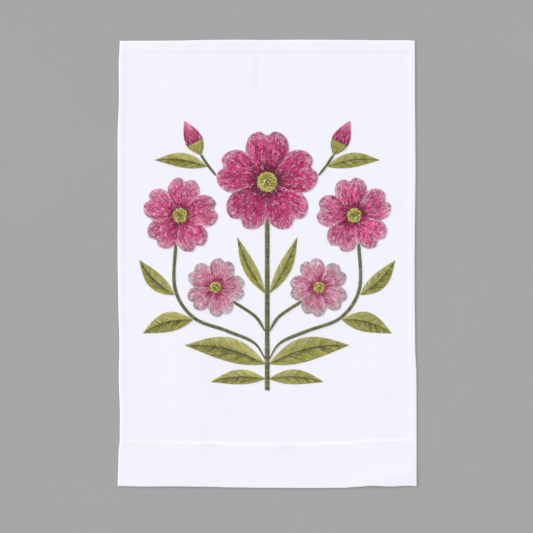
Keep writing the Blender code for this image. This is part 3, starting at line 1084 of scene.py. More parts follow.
@dataclass
class HemWork:
    """White stitching of the hems: a hemstitched row over the deep one, running stitches round the rest."""

    lie: Lie
    finish: HemThread
    pitch: float = 2.4 * MM  # from one drawn bundle to the next
    row_width: float = 2.5 * MM
    strands: int = 3  # threads that are drawn together in a bundle
    fan_low: float = 0.52  # of the pitch: how far a bundle's strands spread at the row's lower side
    fan_high: float = 0.42
    second_place: float = 47.2 * MM  # a finer row of back stitch below, from the bottom edge
    second_share: float = 0.75  # of the thread's width and rise
    back_share: float = 0.93  # of the pitch that a back stitch takes
    thread: float = 0.55 * MM
    rise: float = 0.2 * MM
    sunk: float = 0.1 * MM  # how deep a stitch's ends lie in the cloth
    foot: float = 0.04 * MM  # how deep the thread's sides lie in it
    strand_stray: float = 0.06 * MM
    back_stray: float = 0.04 * MM
    tones: float = 0.5  # spread of lighter and darker stitches
    run: float = 2.9 * MM  # from one running stitch to the next
    run_share: float = 0.82  # of it that the stitch takes
    run_thread: float = 0.42 * MM
    run_rise: float = 0.7  # of the rise
    side_place: float = 4.7 * MM
    top_place: float = 12.2 * MM
    corner: float = 2.2 * MM  # how far from an edge a row ends

    def at(self, across: Array, along: Array, sunk: float) -> Array:
        """Points a little under the cloth's face.

        Args:
            across, along: Places on the cut.
            sunk: How deep in the cloth the points lie.

        Returns:
            The points, a row for each.
        """
        x, y = self.lie.place(across, along)
        z = self.lie.lift(x, y) + self.lie.thickness(across, along) - sunk
        return np.stack(np.broadcast_arrays(x, y, z), axis=-1)

    def lay(self, start: Pair, end: Pair, width: float, rise: float, name: str) -> Form:
        """Stitches between two sets of places on the cut, each with a tone of its own.

        Args:
            start: Their starts, across and along.
            end: Their ends.
            width: The thread's width.
            rise: How far it stands up.
            name: What its random tones are drawn for.

        Returns:
            The stitches.
        """
        feet = []
        for share in Stitches.shares:
            across, along = (a + (b - a) * share for a, b in zip(start, end))
            feet.append(self.at(across, along, self.foot)[:, 2])
        first, last = self.at(*start, self.sunk), self.at(*end, self.sunk)
        even = np.ones(len(first))
        stitches = Stitches(first, last, np.stack(feet, axis=1), rise * even, width * even)
        return stitches.form({"tone": draws(name).normal(0.0, self.tones, len(first))})

    def running(self, low: tuple[float, float], high: tuple[float, float], name: str) -> Form:
        """A straight row of running stitches.

        Args:
            low: Where it starts on the cut, across and along.
            high: Where it ends.
            name: What its random tones are drawn for.

        Returns:
            The stitches.
        """
        count = round(math.dist(low, high) / self.run)
        starts = np.arange(count) / count
        ends = starts + self.run_share / count
        way = np.subtract(high, low)
        start, end = (tuple(low[axis] + way[axis] * at for axis in (0, 1)) for at in (starts, ends))
        return self.lay(start, end, self.run_thread, self.rise * self.run_rise, name)

    def hemstitch(self) -> list[Form]:
        """The row over the deep hem: bundles drawn in at their middles, between rows of back stitch.

        Returns:
            The bundles, and the rows of back stitch at the bundles' ends and one below.
        """
        rng = draws("hemstitch")
        length = self.lie.width - 2 * self.corner
        count = round(length / self.pitch)
        middle = np.repeat(self.corner + (np.arange(count) + 0.5) / count * length, self.strands)
        strand = np.tile(np.linspace(-0.5, 0.5, self.strands), count)
        high, low = self.lie.row_place + self.row_width / 2, self.lie.row_place - self.row_width / 2
        stray = rng.normal(0.0, self.strand_stray, (2, len(middle)))
        foot = middle + strand * self.pitch * self.fan_low + stray[0]
        head = middle - strand * self.pitch * self.fan_high + stray[1]
        level = np.ones(len(middle))
        forms = [self.lay((foot, low * level), (head, high * level), self.thread, self.rise, "bundles")]
        gap = length / count
        start = self.corner + np.arange(count) * gap
        for place, share in ((high, 1.0), (low, 1.0), (self.second_place, self.second_share)):
            from_place = (start, place + rng.normal(0.0, self.back_stray, count))
            to_place = (start + gap * self.back_share, place + rng.normal(0.0, self.back_stray, count))
            name = f"back_stitch_{place:.4f}"
            forms.append(self.lay(from_place, to_place, self.thread * share, self.rise * share, name))
        return forms

    def build(self) -> list[bpy.types.Object]:
        """Makes the hemstitched row and the running stitches.

        Returns:
            The two pieces.
        """
        lie, thread = self.lie, self.finish.material()
        far, top = lie.width - self.side_place, lie.length - self.top_place
        deep = lie.row_place + self.row_width
        rows = [
            self.running((self.side_place, deep), (self.side_place, lie.length - self.corner), "left_hem"),
            self.running((far, deep), (far, lie.length - self.corner), "right_hem"),
            self.running((self.corner, top), (lie.width - self.corner, top), "top_hem"),
        ]
        pieces = [
            Form.joined(self.hemstitch()).piece("hemstitch_row", thread),
            Form.joined(rows).piece("hem_running_stitches", thread),
        ]
        return pieces


# The stitched spray


@dataclass(frozen=True)
class Mottle:
    """How a motif's stitches differ from each other. Neighbours share a part of it, a bunch at a time."""

    shade: float  # spread of the bunches' shades
    own_shade: float  # spread of the stitches' own
    tone: float  # spread of the bunches' tones, lighter or darker
    own_tone: float
    bunch: float  # stitches in one
    pale: float  # share of pale stitches
    often: float = 1.0  # times that in the paler bunches
    seldom: float = 1.0  # and in the others
    odd: float = 0.2  # over this a bunch's odds, spread by 1 about 0, make it a paler one
    faint: float = 0.6  # the least pale stitch
    full: float = 1.0


@dataclass
class Motif:
    """One stitched motif: a padded ground, and the threads laid over it.

    A motif's own places are u and v, from 0 to 1, across and along it, or around and out.
    """

    label: str
    lie: Lie
    thread: Rayon
    slot: str
    hand: Hand = Hand.RIGHT
    padding: float = 0.3 * MM  # height of the ground over the cloth, without its crown
    sunk: float = 0.12 * MM  # how far its underside and the stitches' ends go into the cloth
    foot: float = 0.06 * MM  # how far the threads' sides go into the ground
    width: float = 0.46 * MM  # of a thread
    rise: float = 0.4 * MM  # of a thread over the ground
    rises: tuple[float, float] = (0.7, 1.15)  # lowest and highest thread, as shares of that
    widths: tuple[float, float] = (0.85, 1.15)
    ground_dark: float = 0.1  # painted shade: how much darker a shade the padding under the threads takes than the stitches
    mottle: Mottle = Mottle(0.12, 0.07, 0.45, 0.3, bunch=2.4, pale=0.14)

    def __post_init__(self) -> None:
        """Starts the motif's own random numbers."""
        self.rng = draws(self.label)

    def place(self, u: Array, v: Array) -> Pair:
        """The x and y of places of the motif. Here and below each kind of motif has its own way."""
        raise NotImplementedError

    def crown(self, u: Array, v: Array) -> Array:
        """How far the ground swells over its padding."""
        raise NotImplementedError

    def rim(self, u: Array, v: Array) -> Array:
        """0 at the motif's outline, and 1 a little way in."""
        raise NotImplementedError

    def shading(self, u: Array, v: Array) -> Array:
        """The shade called for at a place, from 0 for the thread's first to 1 for its last."""
        raise NotImplementedError

    def number(self, u: Array, v: Array) -> Array:
        """Which of the motif's threads, counted side by side, passes a place."""
        raise NotImplementedError

    def forms(self) -> list[Form]:
        """The ground and the stitches."""
        raise NotImplementedError

    def height(self, x: Array, y: Array, u: Array, v: Array) -> Array:
        """Height of the padded ground."""
        return self.lie.upper(x, y) + (self.padding + self.crown(u, v)) * self.rim(u, v)

    def profile(self, u: Array, v: Array) -> Array:
        """A closed section of the ground through its places u and v: over the top, and back below.

        Args:
            u: Places across or around, by section and point.
            v: Places along or out, by section and point.

        Returns:
            The points, by section and point, the ones below being the first and last ones sunk.
        """
        x, y = self.place(u, v)
        over = np.stack([x, y, self.height(x, y, u, v)], axis=-1)
        below = over[:, ::-1][:, [0, -1]].copy()
        below[..., 2] = self.lie.upper(below[..., 0], below[..., 1]) - self.sunk
        over[:, 0, 2] = below[:, 1, 2] + self.sunk
        over[:, -1, 2] = below[:, 0, 2] + self.sunk
        return np.concatenate([over, below], axis=1)

    def ground_marks(self, u: Array, v: Array) -> dict[str, Array]:
        """Marks of the ground, which carries painted shade: it is darkened all over, but for a ridge under
        each thread.

        Args:
            u: The top points' places across or around, by section and point.
            v: Their places along or out.

        Returns:
            The marks, for tubes().
        """
        across = self.number(u, v) * math.pi / self.thread.slant
        # painted shade: the padding takes a darker shade than the stitches over it
        shade = np.clip(self.shading(u, v) - self.ground_dark, 0, 1)
        shade, across = (np.concatenate([mark, mark[:, [-1, 0]]], axis=1)[None] for mark in (shade, across))
        marks = dict.fromkeys(("fleck", "tone", "along"), np.zeros(shade.shape))
        return marks | {"shade": shade, "ground": np.ones(shade.shape), "across": across}

    def tube(self, rows: Array, sweep: Array) -> Form:
        """The padding of a long motif, a tube whose sections run from its left side over the top.

        Args:
            rows: v of its sections.
            sweep: u of a section's top points, from the left side to the right.

        Returns:
            The padding.
        """
        u, v = np.meshgrid(sweep[:: self.hand.mirror], rows)
        sections = self.profile(u, v)
        poles = np.stack([sections[0].mean(axis=0), sections[-1].mean(axis=0)])
        return tubes(sections[None], poles[None], self.ground_marks(u, v))

    def colours(self, shade: Array, pale: Array | float | None = None, bunches: Any = None) -> Colours:
        """Mottles stitches, by their own random numbers and by those that their bunch shares.

        Args:
            shade: The shade called for at each stitch.
            pale: The share of pale ones there, if it isn't the motif's own.
            bunches: The shade, tone and odds of each stitch's bunch, or None for stitches that follow
                each other.

        Returns:
            Their shades, flecks, which are 1 for pale ones, and tones, darker or lighter about 0.
        """
        count, mottle, rng = len(shade), self.mottle, self.rng
        pale = mottle.pale if pale is None else pale
        shades = runs(rng, count, mottle.bunch) if bunches is None else bunches[0]
        shade = shade + mottle.shade * shades + rng.normal(0.0, mottle.own_shade, count)
        if bunches is not None:
            pale = pale * np.where(bunches[2] > mottle.odd, mottle.often, mottle.seldom)
        fleck = flecks(rng, pale, count, mottle.faint, mottle.full)
        tones = runs(rng, count, mottle.bunch) if bunches is None else bunches[1]
        return shade, fleck, mottle.tone * tones + rng.normal(0.0, mottle.own_tone, count)

    def lay(self, ends: Ends, colours: Colours, width: float | None = None, lifted: float = 0.0) -> Form:
        """Lays straight stitches between places of the motif.

        Args:
            ends: Where they start and end.
            colours: Their shades, flecks and tones.
            width: The thread's width, if it isn't the motif's own.
            lifted: How much higher than the others these lie.

        Returns:
            The stitches, without those that would be shorter than a thread is wide.
        """
        (u0, v0, u1, v1), (shade, fleck, tone) = ends, colours
        count = len(u0)
        rng = draws(self.label + str(count))
        (x0, y0), (x1, y1) = self.place(u0, v0), self.place(u1, v1)
        start = np.stack([x0, y0, self.height(x0, y0, u0, v0) - self.sunk], axis=1)
        end = np.stack([x1, y1, self.height(x1, y1, u1, v1) - self.sunk], axis=1)
        feet = []
        for share in Stitches.shares:
            u, v = u0 + (u1 - u0) * share, v0 + (v1 - v0) * share
            x, y = x0 + (x1 - x0) * share, y0 + (y1 - y0) * share
            feet.append(self.height(x, y, u, v) - self.foot)
        rise = self.rise * rng.uniform(*self.rises, count) + lifted
        wide = (width or self.width) * rng.uniform(*self.widths, count)
        shade, tone = np.clip(shade, 0, 1), np.clip(tone, -1, 1)
        marks = {"shade": shade, "fleck": fleck, "tone": tone, "ground": 0 * tone}
        long = np.hypot(x1 - x0, y1 - y0) > self.width
        stitches = Stitches(start[long], end[long], np.stack(feet, axis=1)[long], rise[long], wide[long])
        return stitches.form({name: mark[long] for name, mark in marks.items()})

    def build(self) -> bpy.types.Object:
        """Makes the motif's piece.

        Returns:
            The piece, which stands for the solid of the same name.
        """
        made = Form.joined(self.forms()).piece(f"{self.label}_stitched", self.thread.material())
        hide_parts(self.label)
        return made


class Line(NamedTuple):
    """A line of back stitches: a name, its shade, its share of pale ones, and how far it is lifted."""

    name: str
    shade: float
    pale: float
    lifted: float


RIM_LINE = Line("rim", 0.86, 0.6, 0.08 * MM)
EYE_LINE = Line("eye", 0.02, 0.0, 0.1 * MM)
CLEFT_LINE = Line("cleft", 0.02, 0.0, 0.02 * MM)
SIDE_LINE = Line("side", 0.9, 0.75, 0.14 * MM)


@dataclass(frozen=True)
class PetalShades:
    """How a petal is shaded, from 0 at the heart to 1 at the rim.

    Places are s, from -1 to 1 across it, and v, from 0 to 1 out from the eye.
    """

    heart: float = 0.03
    heart_gain: float = 0.52  # by heart_end of the way out
    heart_end: float = 0.36
    rim_gain: float = 0.42  # from rim_start on
    rim_start: float = 0.56
    veins: tuple[tuple[float, float, float], ...] = ((0.0, 0.06, 1.0), (0.34, 0.05, 0.7), (0.62, 0.05, 0.5))
    vein_loss: float = 0.26  # times a vein's third number, its depth, after its place and its width
    vein_start: float = 0.2
    under_start: float = 0.5  # how far across a petal starts to go under its neighbour
    under_loss: float = 0.42
    under_ease: float = 0.45  # how much less that is at the rim
    free_start: float = 0.74  # how far across its free edge starts
    free_gain: float = 0.2
    pale: float = 0.35  # pale threads anywhere, as a share of the usual
    ray_gain: float = 1.1  # and how many more there are in rays between the veins,
    ray_count: float = 5.9
    rim_pale: float = 2.2  # near the rim,
    rim_pale_start: float = 0.72
    free_pale: float = 2.0  # and by the free edge

    def under(self, s: Array) -> Array:
        """How deep a place lies under the neighbour's edge, from 0 to 1."""
        return smooth((-s - self.under_start) / (1 - self.under_start))

    def free(self, s: Array) -> Array:
        """How near a place is to the free edge, from 0 to 1."""
        return smooth((s - self.free_start) / (1 - self.free_start))

    def level(self, s: Array, v: Array) -> Array:
        """Dark at the heart, down the veins and where a petal lies under the next; light at the rims.

        Args:
            s, v: Places of the petal.

        Returns:
            The shade at each.
        """
        veins = sum(depth * bell(np.abs(s) - place, width) for place, width, depth in self.veins)
        level = self.heart + self.heart_gain * smooth(v / self.heart_end)
        level = level + self.rim_gain * smooth((v - self.rim_start) / (1 - self.rim_start))
        level = level - self.vein_loss * veins * (1 - v) * smooth(v / self.vein_start)
        level = level - self.under_loss * self.under(s) * (1 - self.under_ease * v)
        return level + self.free_gain * self.free(s) * smooth(v * 3)

    def paleness(self, s: Array, v: Array) -> Array:
        """More pale threads towards the rims and the free edges, and in rays: (1 + cos(count pi s)) / 2.

        Args:
            s, v: Places of the petal.

        Returns:
            How many times the usual share of pale threads there are at each.
        """
        rays = 0.5 + 0.5 * np.cos(s * math.pi * self.ray_count)
        share = self.pale + self.ray_gain * rays * smooth(v * 2.5)
        share = share + self.rim_pale * smooth((v - self.rim_pale_start) / (1 - self.rim_pale_start))
        return share + self.free_pale * self.free(s) * v


@dataclass(kw_only=True)
class Blossom(Motif):
    """A ring of five notched petals."""

    x: float
    y: float
    radius: float
    turn: float  # direction of the first petal's middle, on the right side
    eye_share: float
    petals: int = 5
    width: float = 0.5 * MM
    gap: float = 0.05 * MM
    cleft: float = 0.3  # depth of a cleft, as a share of the radius
    rim_power: float = 3.2
    notch: float = 0.1
    notch_width: float = 0.16
    rim_fall: float = 1.1 * MM  # over which the ground falls at the rim,
    cleft_fall: float = 2.2 * MM  # and at a cleft, where a share is kept
    cleft_kept: float = 0.35
    petal_crown: float = 0.4 * MM
    crown_end: float = 0.45
    facets: int = 26  # of the ground, around a petal
    levels: int = 8  # points of the ground's section
    spacing: float = 0.42 * MM  # between stitches side by side
    row: float = 2.8 * MM  # from one row of stitches to the next
    last_row: float = 0.93  # how far out the last row is counted
    stitch: float = 4.8 * MM
    stray: tuple[float, float] = (0.4, 0.6)  # of a stitch, in spacings and in rows
    lean: float = 0.0016  # of a stitch, in turns round the blossom, at its rim
    outline: float = 2.6 * MM  # length of the stitches that edge a petal
    eye_outline: float = 2.0 * MM
    edge_width: float = 1.15  # of those threads, times the others' width
    over_share: float = 0.09  # triple threads tried for each square millimetre
    over_light: float = 0.2  # share of them laid as light ones, at a paleness of 1,
    over_dark: float = 0.16  # and as dark ones
    over_length: float = 0.62  # of a stitch
    over_spacing: float = 0.95  # between the three threads, in threads' widths
    over_lift: float = 0.1 * MM
    dark_shade: float = 0.36  # how much darker a shade the dark ones have
    shades: PetalShades = PetalShades()
    mottle: Mottle = Mottle(0.18, 0.05, 0.55, 0.25, bunch=3.3, pale=0.14, often=2.1, seldom=0.2)

    def across(self, u: Array) -> Array:
        """Where a place lies across its petal, from -1 at one cleft to 1 at the next."""
        return (u * self.petals) % 1.0 * 2 - 1

    def lap(self, u: Array) -> Array:
        """The same, but always from the edge that lies under to the free one."""
        return self.across(u) * self.hand.mirror

    def place(self, u: Array, v: Array) -> Pair:
        """Out from the eye to the rim: radius x (1 - cleft |s|^power - notch exp(-(s / width)^2))."""
        s = self.across(u)
        rim = 1 - self.cleft * np.abs(s) ** self.rim_power - self.notch * bell(s, self.notch_width)
        inner = self.radius * self.eye_share + self.gap
        reach = inner + (self.radius * rim - inner) * v
        turn = self.turn if self.hand is not Hand.LEFT else math.pi - self.turn
        angle = turn + (u + 0.5 / self.petals) * TURN
        return self.hand.mirror * self.x + reach * np.cos(angle), self.y + reach * np.sin(angle)

    def crown(self, u: Array, v: Array) -> Array:
        """Highest down the middle of each petal, and lower at its foot, rim and sides."""
        along = self.crown_end + (1 - self.crown_end) * np.sin(math.pi * v)
        return self.petal_crown * (1 - self.across(u) ** 2) * along

    def rim(self, u: Array, v: Array) -> Array:
        """The ground falls to the cloth over the last millimetre of the petals."""
        cleft = smooth((1 - np.abs(self.across(u))) * self.radius / self.cleft_fall + self.cleft_kept)
        return smooth((1 - v) * (self.radius * (1 - self.eye_share)) / self.rim_fall) * cleft

    def shading(self, u: Array, v: Array) -> Array:
        """The petal's shade."""
        return self.shades.level(self.lap(u), v)

    def paleness(self, u: Array, v: Array) -> Array:
        """How many times the usual share of pale threads there are."""
        return self.shades.paleness(self.lap(u), v)

    def number(self, u: Array, v: Array) -> Array:
        """Counted round the ring, a little over half way out."""
        return u * TURN * self.radius * 0.6 / self.spacing

    def ground(self) -> Form:
        """The padding under the petals, a ring whose section runs from the eye to the rim.

        Returns:
            The ring.
        """
        around = self.petals * self.facets
        v, u = np.meshgrid(np.linspace(0.0, 1.0, self.levels) ** 0.8 * 0.985, np.arange(around) / around)
        return tubes(self.profile(u, v)[None], None, self.ground_marks(u, v))

    def fill(self) -> Form:
        """Long and short stitches in staggered rows out from the eye, each row as close as the last.

        Returns:
            The stitches.
        """
        rng = self.rng
        inner = self.radius * (1 - self.eye_share)
        rows = round(inner / self.row)
        u0, v0, bunches = [], [], []
        for row in range(rows + 1):
            level = row / rows
            out = self.eye_share + (self.last_row - self.eye_share) * level
            count = round(TURN * self.radius * out / self.spacing)
            beside, ahead = (rng.uniform(-stray, stray, count) for stray in self.stray)
            u0.append((np.arange(count) + beside) / count)
            v0.append(level - self.stitch / inner / 2 + ahead / rows)
            bunches.append([runs(rng, count, self.mottle.bunch) for _ in range(3)])
        u0, v0, bunches = np.concatenate(u0), np.concatenate(v0), np.concatenate(bunches, axis=1)
        count = len(u0)
        long = self.stitch / inner * rng.uniform(0.7, 1.15, count)
        v1 = np.minimum(v0 + long, 1.0 - rng.uniform(0, 0.012, count))
        v0 = np.maximum(v0, 0.0)
        lean = rng.normal(0.0, self.lean, count) / np.maximum(v0 + self.eye_share, 0.3)
        petal = u0 * self.petals
        u1 = np.clip(u0 + lean, np.floor(petal) / self.petals, np.ceil(petal) / self.petals)
        middle = (v0 + v1) / 2
        pale = self.mottle.pale * self.paleness(u0, middle)
        return self.lay((u0, v0, u1, v1), self.colours(self.shading(u0, middle), pale, bunches))

    def over(self) -> Form:
        """Short triple threads laid last, out along the petals: pale between the veins, and dark anywhere.

        Returns:
            The stitches.
        """
        rng = draws(self.label + "over")
        count = round(self.over_share * math.pi * (self.radius / MM) ** 2)
        u0 = rng.random(count)
        v0 = np.sqrt(rng.uniform(0.02, 1.0, count)) * 0.97 - 0.06
        odds = rng.random(count)
        light = odds < self.paleness(u0, v0) * self.over_light
        keep = light | (odds > 1 - self.over_dark)
        u0, v0, light = u0[keep], np.maximum(v0[keep], 0.02), light[keep]
        count = len(u0)
        long = self.over_length * self.stitch / self.radius * rng.uniform(0.6, 1.2, count)
        v1 = np.minimum(v0 + long, 0.985)
        apart = self.over_spacing * self.width / TURN / self.radius
        apart = apart / (self.eye_share + (1 - self.eye_share) * v0)
        shade = self.shading(u0, v0) - np.where(light, 0.0, self.dark_shade)
        pale = light * rng.uniform(0.75, 1.0, count)
        tone = rng.normal(0.0, 0.2, count) + np.where(light, 0.25, -0.45)
        beside = np.repeat([-1.0, 0.0, 1.0], count)
        shade, pale, tone, u0, v0, v1, apart = (
            np.tile(values, 3) for values in (shade, pale, tone, u0, v0, v1, apart)
        )
        u = u0 + apart * beside
        slip = rng.uniform(0.0, 0.02, 3 * count)
        return self.lay((u, v0 + slip, u, v1 - slip), (shade, pale, tone), lifted=self.over_lift)

    def line(self, line: Line, ends: Ends) -> Form:
        """A line of back stitches of nearly one shade.

        Args:
            line: How it looks.
            ends: Where its stitches start and end.

        Returns:
            The stitches.
        """
        rng = draws(self.label + line.name)
        count = len(ends[0])
        shade = line.shade + rng.normal(0.0, 0.06, count)
        fleck = flecks(rng, line.pale, count, 0.7)
        tone = rng.normal(0.0, 0.4, count)
        return self.lay(ends, (shade, fleck, tone), self.width * self.edge_width, line.lifted)

    def edging(self) -> list[Form]:
        """Lines round the rim and the eye, and a dark and a pale one down each cleft.

        Returns:
            The stitches of each.
        """
        rim_count = round(TURN * self.radius * 1.12 / self.outline)
        rim = np.arange(rim_count) / rim_count
        level = 0.982 - draws(self.label + "edge").uniform(0.0, 0.012, rim_count)
        eye_count = round(TURN * self.radius * self.eye_share / self.eye_outline)
        eye = np.arange(eye_count) / eye_count
        near = np.full(eye_count, 0.45 * self.width / self.radius)
        deep = max(3, round(self.radius * (1 - self.eye_share - self.cleft) / self.outline))
        clefts = np.arange(self.petals) / self.petals + 1e-4
        u, v = (grid.ravel() for grid in np.meshgrid(clefts, 0.08 + 0.86 * np.arange(deep) / deep))
        side_u, side_v = u - self.hand.mirror * 0.055 / self.petals, np.maximum(v, 0.3)
        step = 0.84 / deep
        return [
            self.line(RIM_LINE, (rim, level, rim + 0.94 / rim_count, level)),
            self.line(EYE_LINE, (eye, near, eye + 0.9 / eye_count, near)),
            self.line(CLEFT_LINE, (u, v, u, v + step)),
            self.line(SIDE_LINE, (side_u, side_v, side_u, np.minimum(side_v + step, 0.97))),
        ]

    def forms(self) -> list[Form]:
        """The ring's ground, its long and short stitches, and those laid over and round them."""
        return [self.ground(), self.fill(), self.over(), *self.edging()]


@dataclass(kw_only=True)
class Eye(Motif):
    """The round heart of a blossom: small knots in a spiral over a domed ground."""

    x: float
    y: float
    radius: float
    eye_crown: float = 0.55 * MM
    rim_kept: float = 0.35  # share of the ground's height that is left at its rim
    rim_fall: float = 1.0 * MM
    dome_sides: int = 48
    dome_rings: int = 6
    dome_shade: float = 0.25
    knot: float = 1.65 * MM  # across
    knot_rise: float = 0.62 * MM
    knot_sunk: float = 0.1 * MM
    knot_sides: int = 9
    knot_share: float = 0.8  # how much of the dome knots cover
    knot_profile: tuple[tuple[float, float], ...] = ((0.94, 0.0), (1.0, 0.42), (0.7, 0.92), (0.36, 0.94))
    knot_dimple: float = 0.68  # height of its middle; like the profile, in shares of the radius and the rise
    turns_along: Places = (0.0, 0.5, 1.0, 1.3)  # mm of thread up a knot
    turns_across: float = 0.8

    def place(self, u: Array, v: Array) -> Pair:
        """Around by u, and out by v."""
        angle, reach = u * TURN, self.radius * v
        return self.hand.mirror * self.x + reach * np.cos(angle), self.y + reach * np.sin(angle)

    def crown(self, u: Array, v: Array) -> Array:
        """A dome, 1 - v^2."""
        return self.eye_crown * (1 - v * v)

    def rim(self, u: Array, v: Array) -> Array:
        """The ground falls most of the way to the cloth over its last millimetre."""
        return self.rim_kept + (1 - self.rim_kept) * smooth((1 - v) * self.radius / self.rim_fall)

    def dome(self) -> Form:
        """The ground: rings from the cloth up, closed by a pole below and one on top.

        Returns:
            The dome.
        """
        around, levels = np.arange(self.dome_sides) / self.dome_sides, np.linspace(1.0, 0.12, self.dome_rings)
        u, v = np.meshgrid(around, levels)
        x, y = self.place(u, v)
        rings = np.stack([x, y, self.height(x, y, u, v)], axis=-1)
        low = rings[:1].copy()
        low[..., 2] -= self.sunk
        centre = np.array([self.hand.mirror * self.x, self.y])
        cloth = self.lie.upper(*centre)
        poles = np.array([[[*centre, cloth - self.sunk], [*centre, cloth + self.padding + self.eye_crown]]])
        zero = np.zeros((1, self.dome_rings + 1))
        marks = {name: zero for name in ("fleck", "tone", "along", "across")}
        # the ground mark gives the dome the padding's painted shade
        marks |= {"shade": zero + self.dome_shade, "ground": zero + 1}
        return tubes(np.concatenate([low, rings])[None], poles, marks)

    def knots(self) -> Form:
        """Knots at golden-angle steps: the nth is out by the root of its share.

        Returns:
            The knots.
        """
        rng = self.rng
        count = round(self.knot_share * (2 * self.radius / self.knot) ** 2)
        number = np.arange(count) + 0.5
        out = np.sqrt(number / count) * (1 - 0.3 * self.knot / self.radius)
        turn = number * (3 - math.sqrt(5)) / 2
        x, y = self.place(turn, out)
        base = self.height(x, y, turn, out) - self.knot_sunk
        size = self.knot / 2 * rng.uniform(0.85, 1.12, count)
        angle = np.arange(self.knot_sides) / self.knot_sides * TURN
        circle = np.stack([np.cos(angle), np.sin(angle)], axis=-1)
        middle = np.stack([x, y], axis=-1)
        shape = (count, len(self.knot_profile), self.knot_sides)
        sections = np.empty((*shape, 3))
        for row, (wide, high) in enumerate(self.knot_profile):
            sections[:, row, :, :2] = middle[:, None] + size[:, None, None] * wide * circle
            sections[:, row, :, 2] = (base + self.knot_rise * high)[:, None]
        low = np.stack([x, y, base - 0.05 * MM], axis=-1)
        top = np.stack([x, y, base + self.knot_rise * self.knot_dimple], axis=-1)
        shade = 0.2 + 0.75 * out + rng.normal(0.0, 0.18, count)
        marks = {
            "shade": np.clip(shade, 0, 1),
            "fleck": (rng.random(count) < 0.1) * 1.0,
            "tone": rng.normal(0.0, 0.4, count),
            "ground": np.zeros(count),
            "along": np.broadcast_to(np.array(self.turns_along) * MM, shape[:2]),
            "across": np.broadcast_to(np.arange(self.knot_sides) * self.turns_across, shape),
        }
        return tubes(sections, np.stack([low, top], axis=1), marks)

    def forms(self) -> list[Form]:
        """The dome and the knots on it."""
        return [self.dome(), self.knots()]


@dataclass(kw_only=True)
class Blade(Motif):
    """A motif with a blunt foot and a pointed tip: a leaf, a bud or its calyx."""

    x0: float
    y0: float
    x1: float
    y1: float
    broad: float
    bend: float = 0.0
    fat: float = 0.85
    stalk: float = 1.6 * MM
    start: float = 0.0  # the stretch of the blade's length that is this motif
    stop: float = 1.0
    swell: float = 0.35 * MM
    fall: float = 0.9 * MM  # over which the ground falls to the cloth
    spacing: float = 0.43 * MM
    stitch: float = 4.6 * MM
    sections: int = 40  # of the ground
    points: int = 9  # over the top of one

    def length(self) -> float:
        """From foot to tip."""
        return math.hypot(self.x1 - self.x0, self.y1 - self.y0)

    def share(self, v: Array) -> Array:
        """Where on the whole blade a place of this motif is."""
        return self.start + (self.stop - self.start) * v

    def half(self, share: Array) -> Array:
        """Half the blade's breadth: broad / 2 sin(pi share^fat), or its stalk near the foot."""
        foot = self.stalk / 2 * (1 - smooth(share * 2))
        return np.maximum(self.broad / 2 * np.sin(math.pi * np.clip(share, 0, 1) ** self.fat), foot)

    def place(self, u: Array, v: Array) -> Pair:
        """Along the line from foot to tip, off it by the breadth and by the bend, which is sin(pi share)."""
        share = self.share(v)
        dx, dy, length = self.x1 - self.x0, self.y1 - self.y0, self.length()
        off = self.half(share) * (2 * u - 1) + self.bend * np.sin(math.pi * share)
        x = self.x0 + dx * share - dy / length * off
        y = self.y0 + dy * share + dx / length * off
        return self.hand.mirror * x, y

    def rim(self, u: Array, v: Array) -> Array:
        """The ground falls to the cloth over the last millimetre at the sides and ends."""
        end = np.minimum(v, 1 - v) * self.length() * (self.stop - self.start)
        return smooth((1 - aside(u)) * self.half(self.share(v)) / self.fall) * smooth(end / self.fall + 0.5)

    def ground(self) -> Form:
        """The padding, a tube along the blade that stops short of its foot and tip."""
        foot, tip = (0.006 if self.start == 0 else 0.0), (0.985 if self.stop == 1 else 1.0)
        return self.tube(np.linspace(foot, tip, self.sections), np.linspace(0.97, 0.03, self.points))


